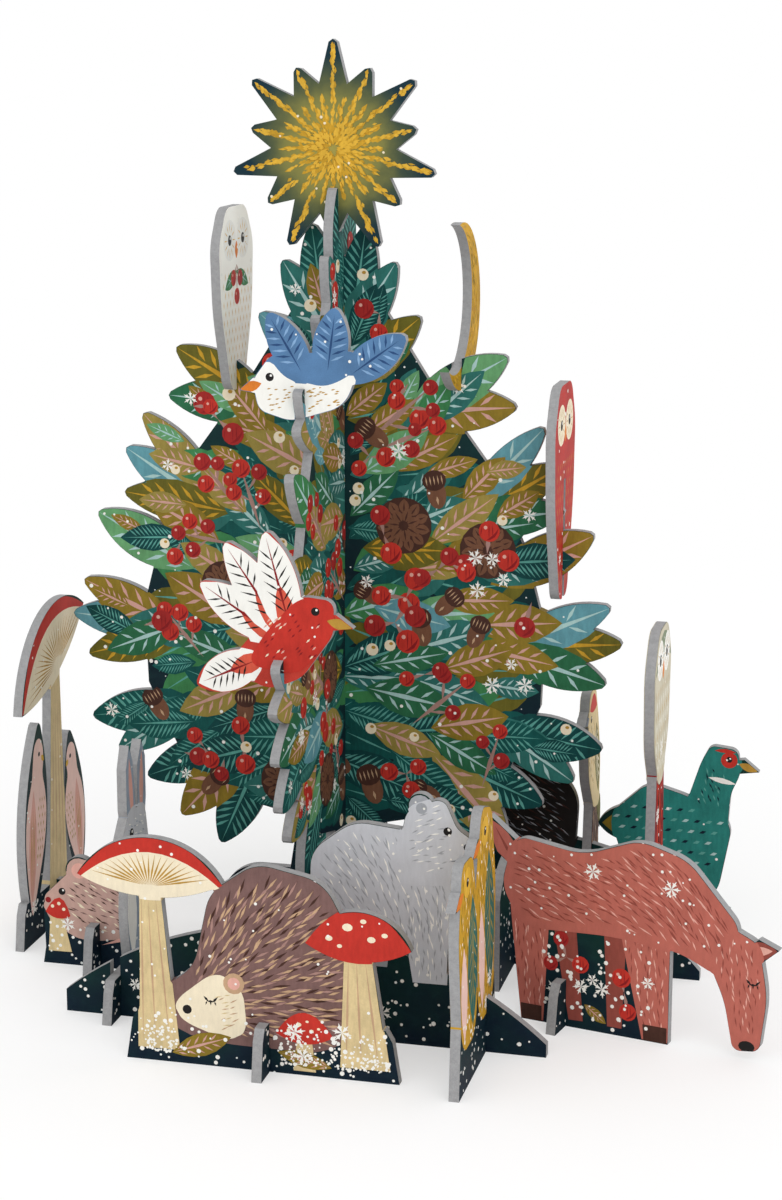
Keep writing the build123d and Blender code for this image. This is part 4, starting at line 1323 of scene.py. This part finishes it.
print_tree("tree_wide_panel", facing(0.0, 0.0), WIDE_HALF_WIDTH, WIDE_LOBES,
           ("green", "olive", "mist", "gold"))
print_tree("tree_cross_panel", crossing(0.0, 0.0), CROSS_HALF_WIDTH, CROSS_LOBES,
           ("olive", "green", "gold", "mist"))
print_star()
print_owl("pale_owl", PALE_OWL_X, PALE_OWL_HEIGHT, "cream_print", plain_ground("#fffcf4", 0.03),
          YELLOW, WHITE, leaves=True)
print_owl("red_owl", RED_OWL_X, RED_OWL_HEIGHT, "red_print", plain_ground("#b8322c", 0.18),
          OCHRE, CREAM, leaves=False)
print_moon()
print_blue_bird()
print_red_bird()
print_hedgehog()
print_bear()
print_hare()
print_twin_birds()
print_mouse()
print_tall_mushroom()
print_deer()
print_tall_owl()
print_back_mound()
print_woodpecker()
deer_foot_place = facing(DEER_X, DEER_Y, DEER_TURN) @ Vector((DEER_FOOT_AT, 0.0, 0.0)) / MM
for foot_board, foot_place, reach in (
        ("hedgehog_foot", crossing(HEDGEHOG_FOOT_X, HEDGEHOG_Y), (-10, 10)),
        ("mouse_foot", crossing(MOUSE_FOOT_X, MOUSE_Y), (-10, 10)),
        ("mushroom_foot", facing(MUSHROOM_X, MUSHROOM_Y), (-7, 19)),
        ("deer_foot", crossing(deer_foot_place.x, deer_foot_place.y, DEER_TURN), (-10, 10))):
    print_plain(foot_board, foot_place, (reach[0], 1.0), (reach[1], FOOT_HEIGHT), 30, 4)
print_plain("right_mound", facing(0.0, RIGHT_Y), (49.0, 1.0), (121.0, 26.0), 110, 8)
print_plain("right_foot", crossing(RIGHT_FOOT_X, RIGHT_Y), (-26.0, 1.0), (10.0, 39.0), 60, 5)


def add_floor():
    """Plain white floor that takes the shadow and fades to bare white further out."""
    mesh = bmesh.new()
    bmesh.ops.create_grid(mesh, x_segments=1, y_segments=1, size=FLOOR_SIZE)
    data = bpy.data.meshes.new("floor")
    mesh.to_mesh(data)
    mesh.free()
    floor = bpy.data.objects.new("floor", data)
    material, place, shader = new_finish("floor_paper")
    shade = place.noise(3.0).mixed(paint("#fbfbfb"), paint("#ffffff"))
    place.tree.links.new(shade.socket, shader.inputs["Base Color"])
    shader.inputs["Roughness"].default_value = 0.9
    shader.inputs["Specular IOR Level"].default_value = 0.0
    tree = place.tree
    rays = Shade(tree, tree.nodes.new("ShaderNodeLightPath").outputs["Is Camera Ray"])
    glow = (place.far_from((0.0, 0.0, 0.0)) * GLOW_RISE + FLOOR_GLOW).kept()
    white = place.node("ShaderNodeEmission", {}, {"Color": WHITE_LIGHT, "Strength": 1.0})
    paper = Shade(tree, shader.outputs[0])
    seen = place.node("ShaderNodeMixShader", {}, {0: rays * glow, 1: paper, 2: white})
    tree.links.new(seen.socket, tree.nodes["Material Output"].inputs["Surface"])
    data.materials.append(material)
    bpy.context.scene.collection.objects.link(floor)


def add_lights():
    """White surroundings and two large soft lamps in front, to the left and to the right."""
    world = bpy.data.worlds.new("studio")
    bpy.context.scene.world = world
    world.use_nodes = True
    tree = world.node_tree
    back = tree.nodes["Background"]
    rays = tree.nodes.new("ShaderNodeLightPath")
    camera, glossy, clear = (
        Shade(tree, rays.outputs[f"Is {kind} Ray"]) for kind in ("Camera", "Glossy", "Transmission"))
    seen = camera + glossy + clear
    lit = seen.kept() * (1.0 - AMBIENT) + AMBIENT
    back.inputs["Color"].default_value = WHITE_LIGHT
    tree.links.new(lit.socket, back.inputs["Strength"])
    for name, at, size, power in LAMPS:
        lamp = bpy.data.lights.new(name, "AREA")
        lamp.size = size
        lamp.energy = power
        holder = bpy.data.objects.new(name, lamp)
        holder.location = at
        holder.rotation_euler = (Vector(AIM) - Vector(at)).to_track_quat("-Z", "Y").to_euler()
        bpy.context.scene.collection.objects.link(holder)


def add_camera():
    """Camera in front, a little to the right and above, as the photograph was taken."""
    azimuth, elevation = math.radians(CAMERA_AZIMUTH), math.radians(CAMERA_ELEVATION)
    right = Vector((math.cos(azimuth), math.sin(azimuth), 0.0))
    ahead = Vector((-math.sin(azimuth) * math.cos(elevation), math.cos(azimuth) * math.cos(elevation),
                    -math.sin(elevation)))
    up = right.cross(ahead)
    lens = bpy.data.cameras.new("camera")
    lens.sensor_fit = "VERTICAL"
    lens.sensor_height = SENSOR
    lens.lens = SENSOR * FOCAL_PIXELS / IMAGE_HEIGHT
    camera = bpy.data.objects.new("camera", lens)
    camera.matrix_world = (Matrix.Translation(Vector(AIM) - ahead * CAMERA_DISTANCE)
                           @ Matrix((right, up, -ahead)).transposed().to_4x4())
    bpy.context.scene.collection.objects.link(camera)
    bpy.context.scene.camera = camera


add_floor()
add_lights()
add_camera()
bpy.context.scene.view_settings.view_transform = "Standard"
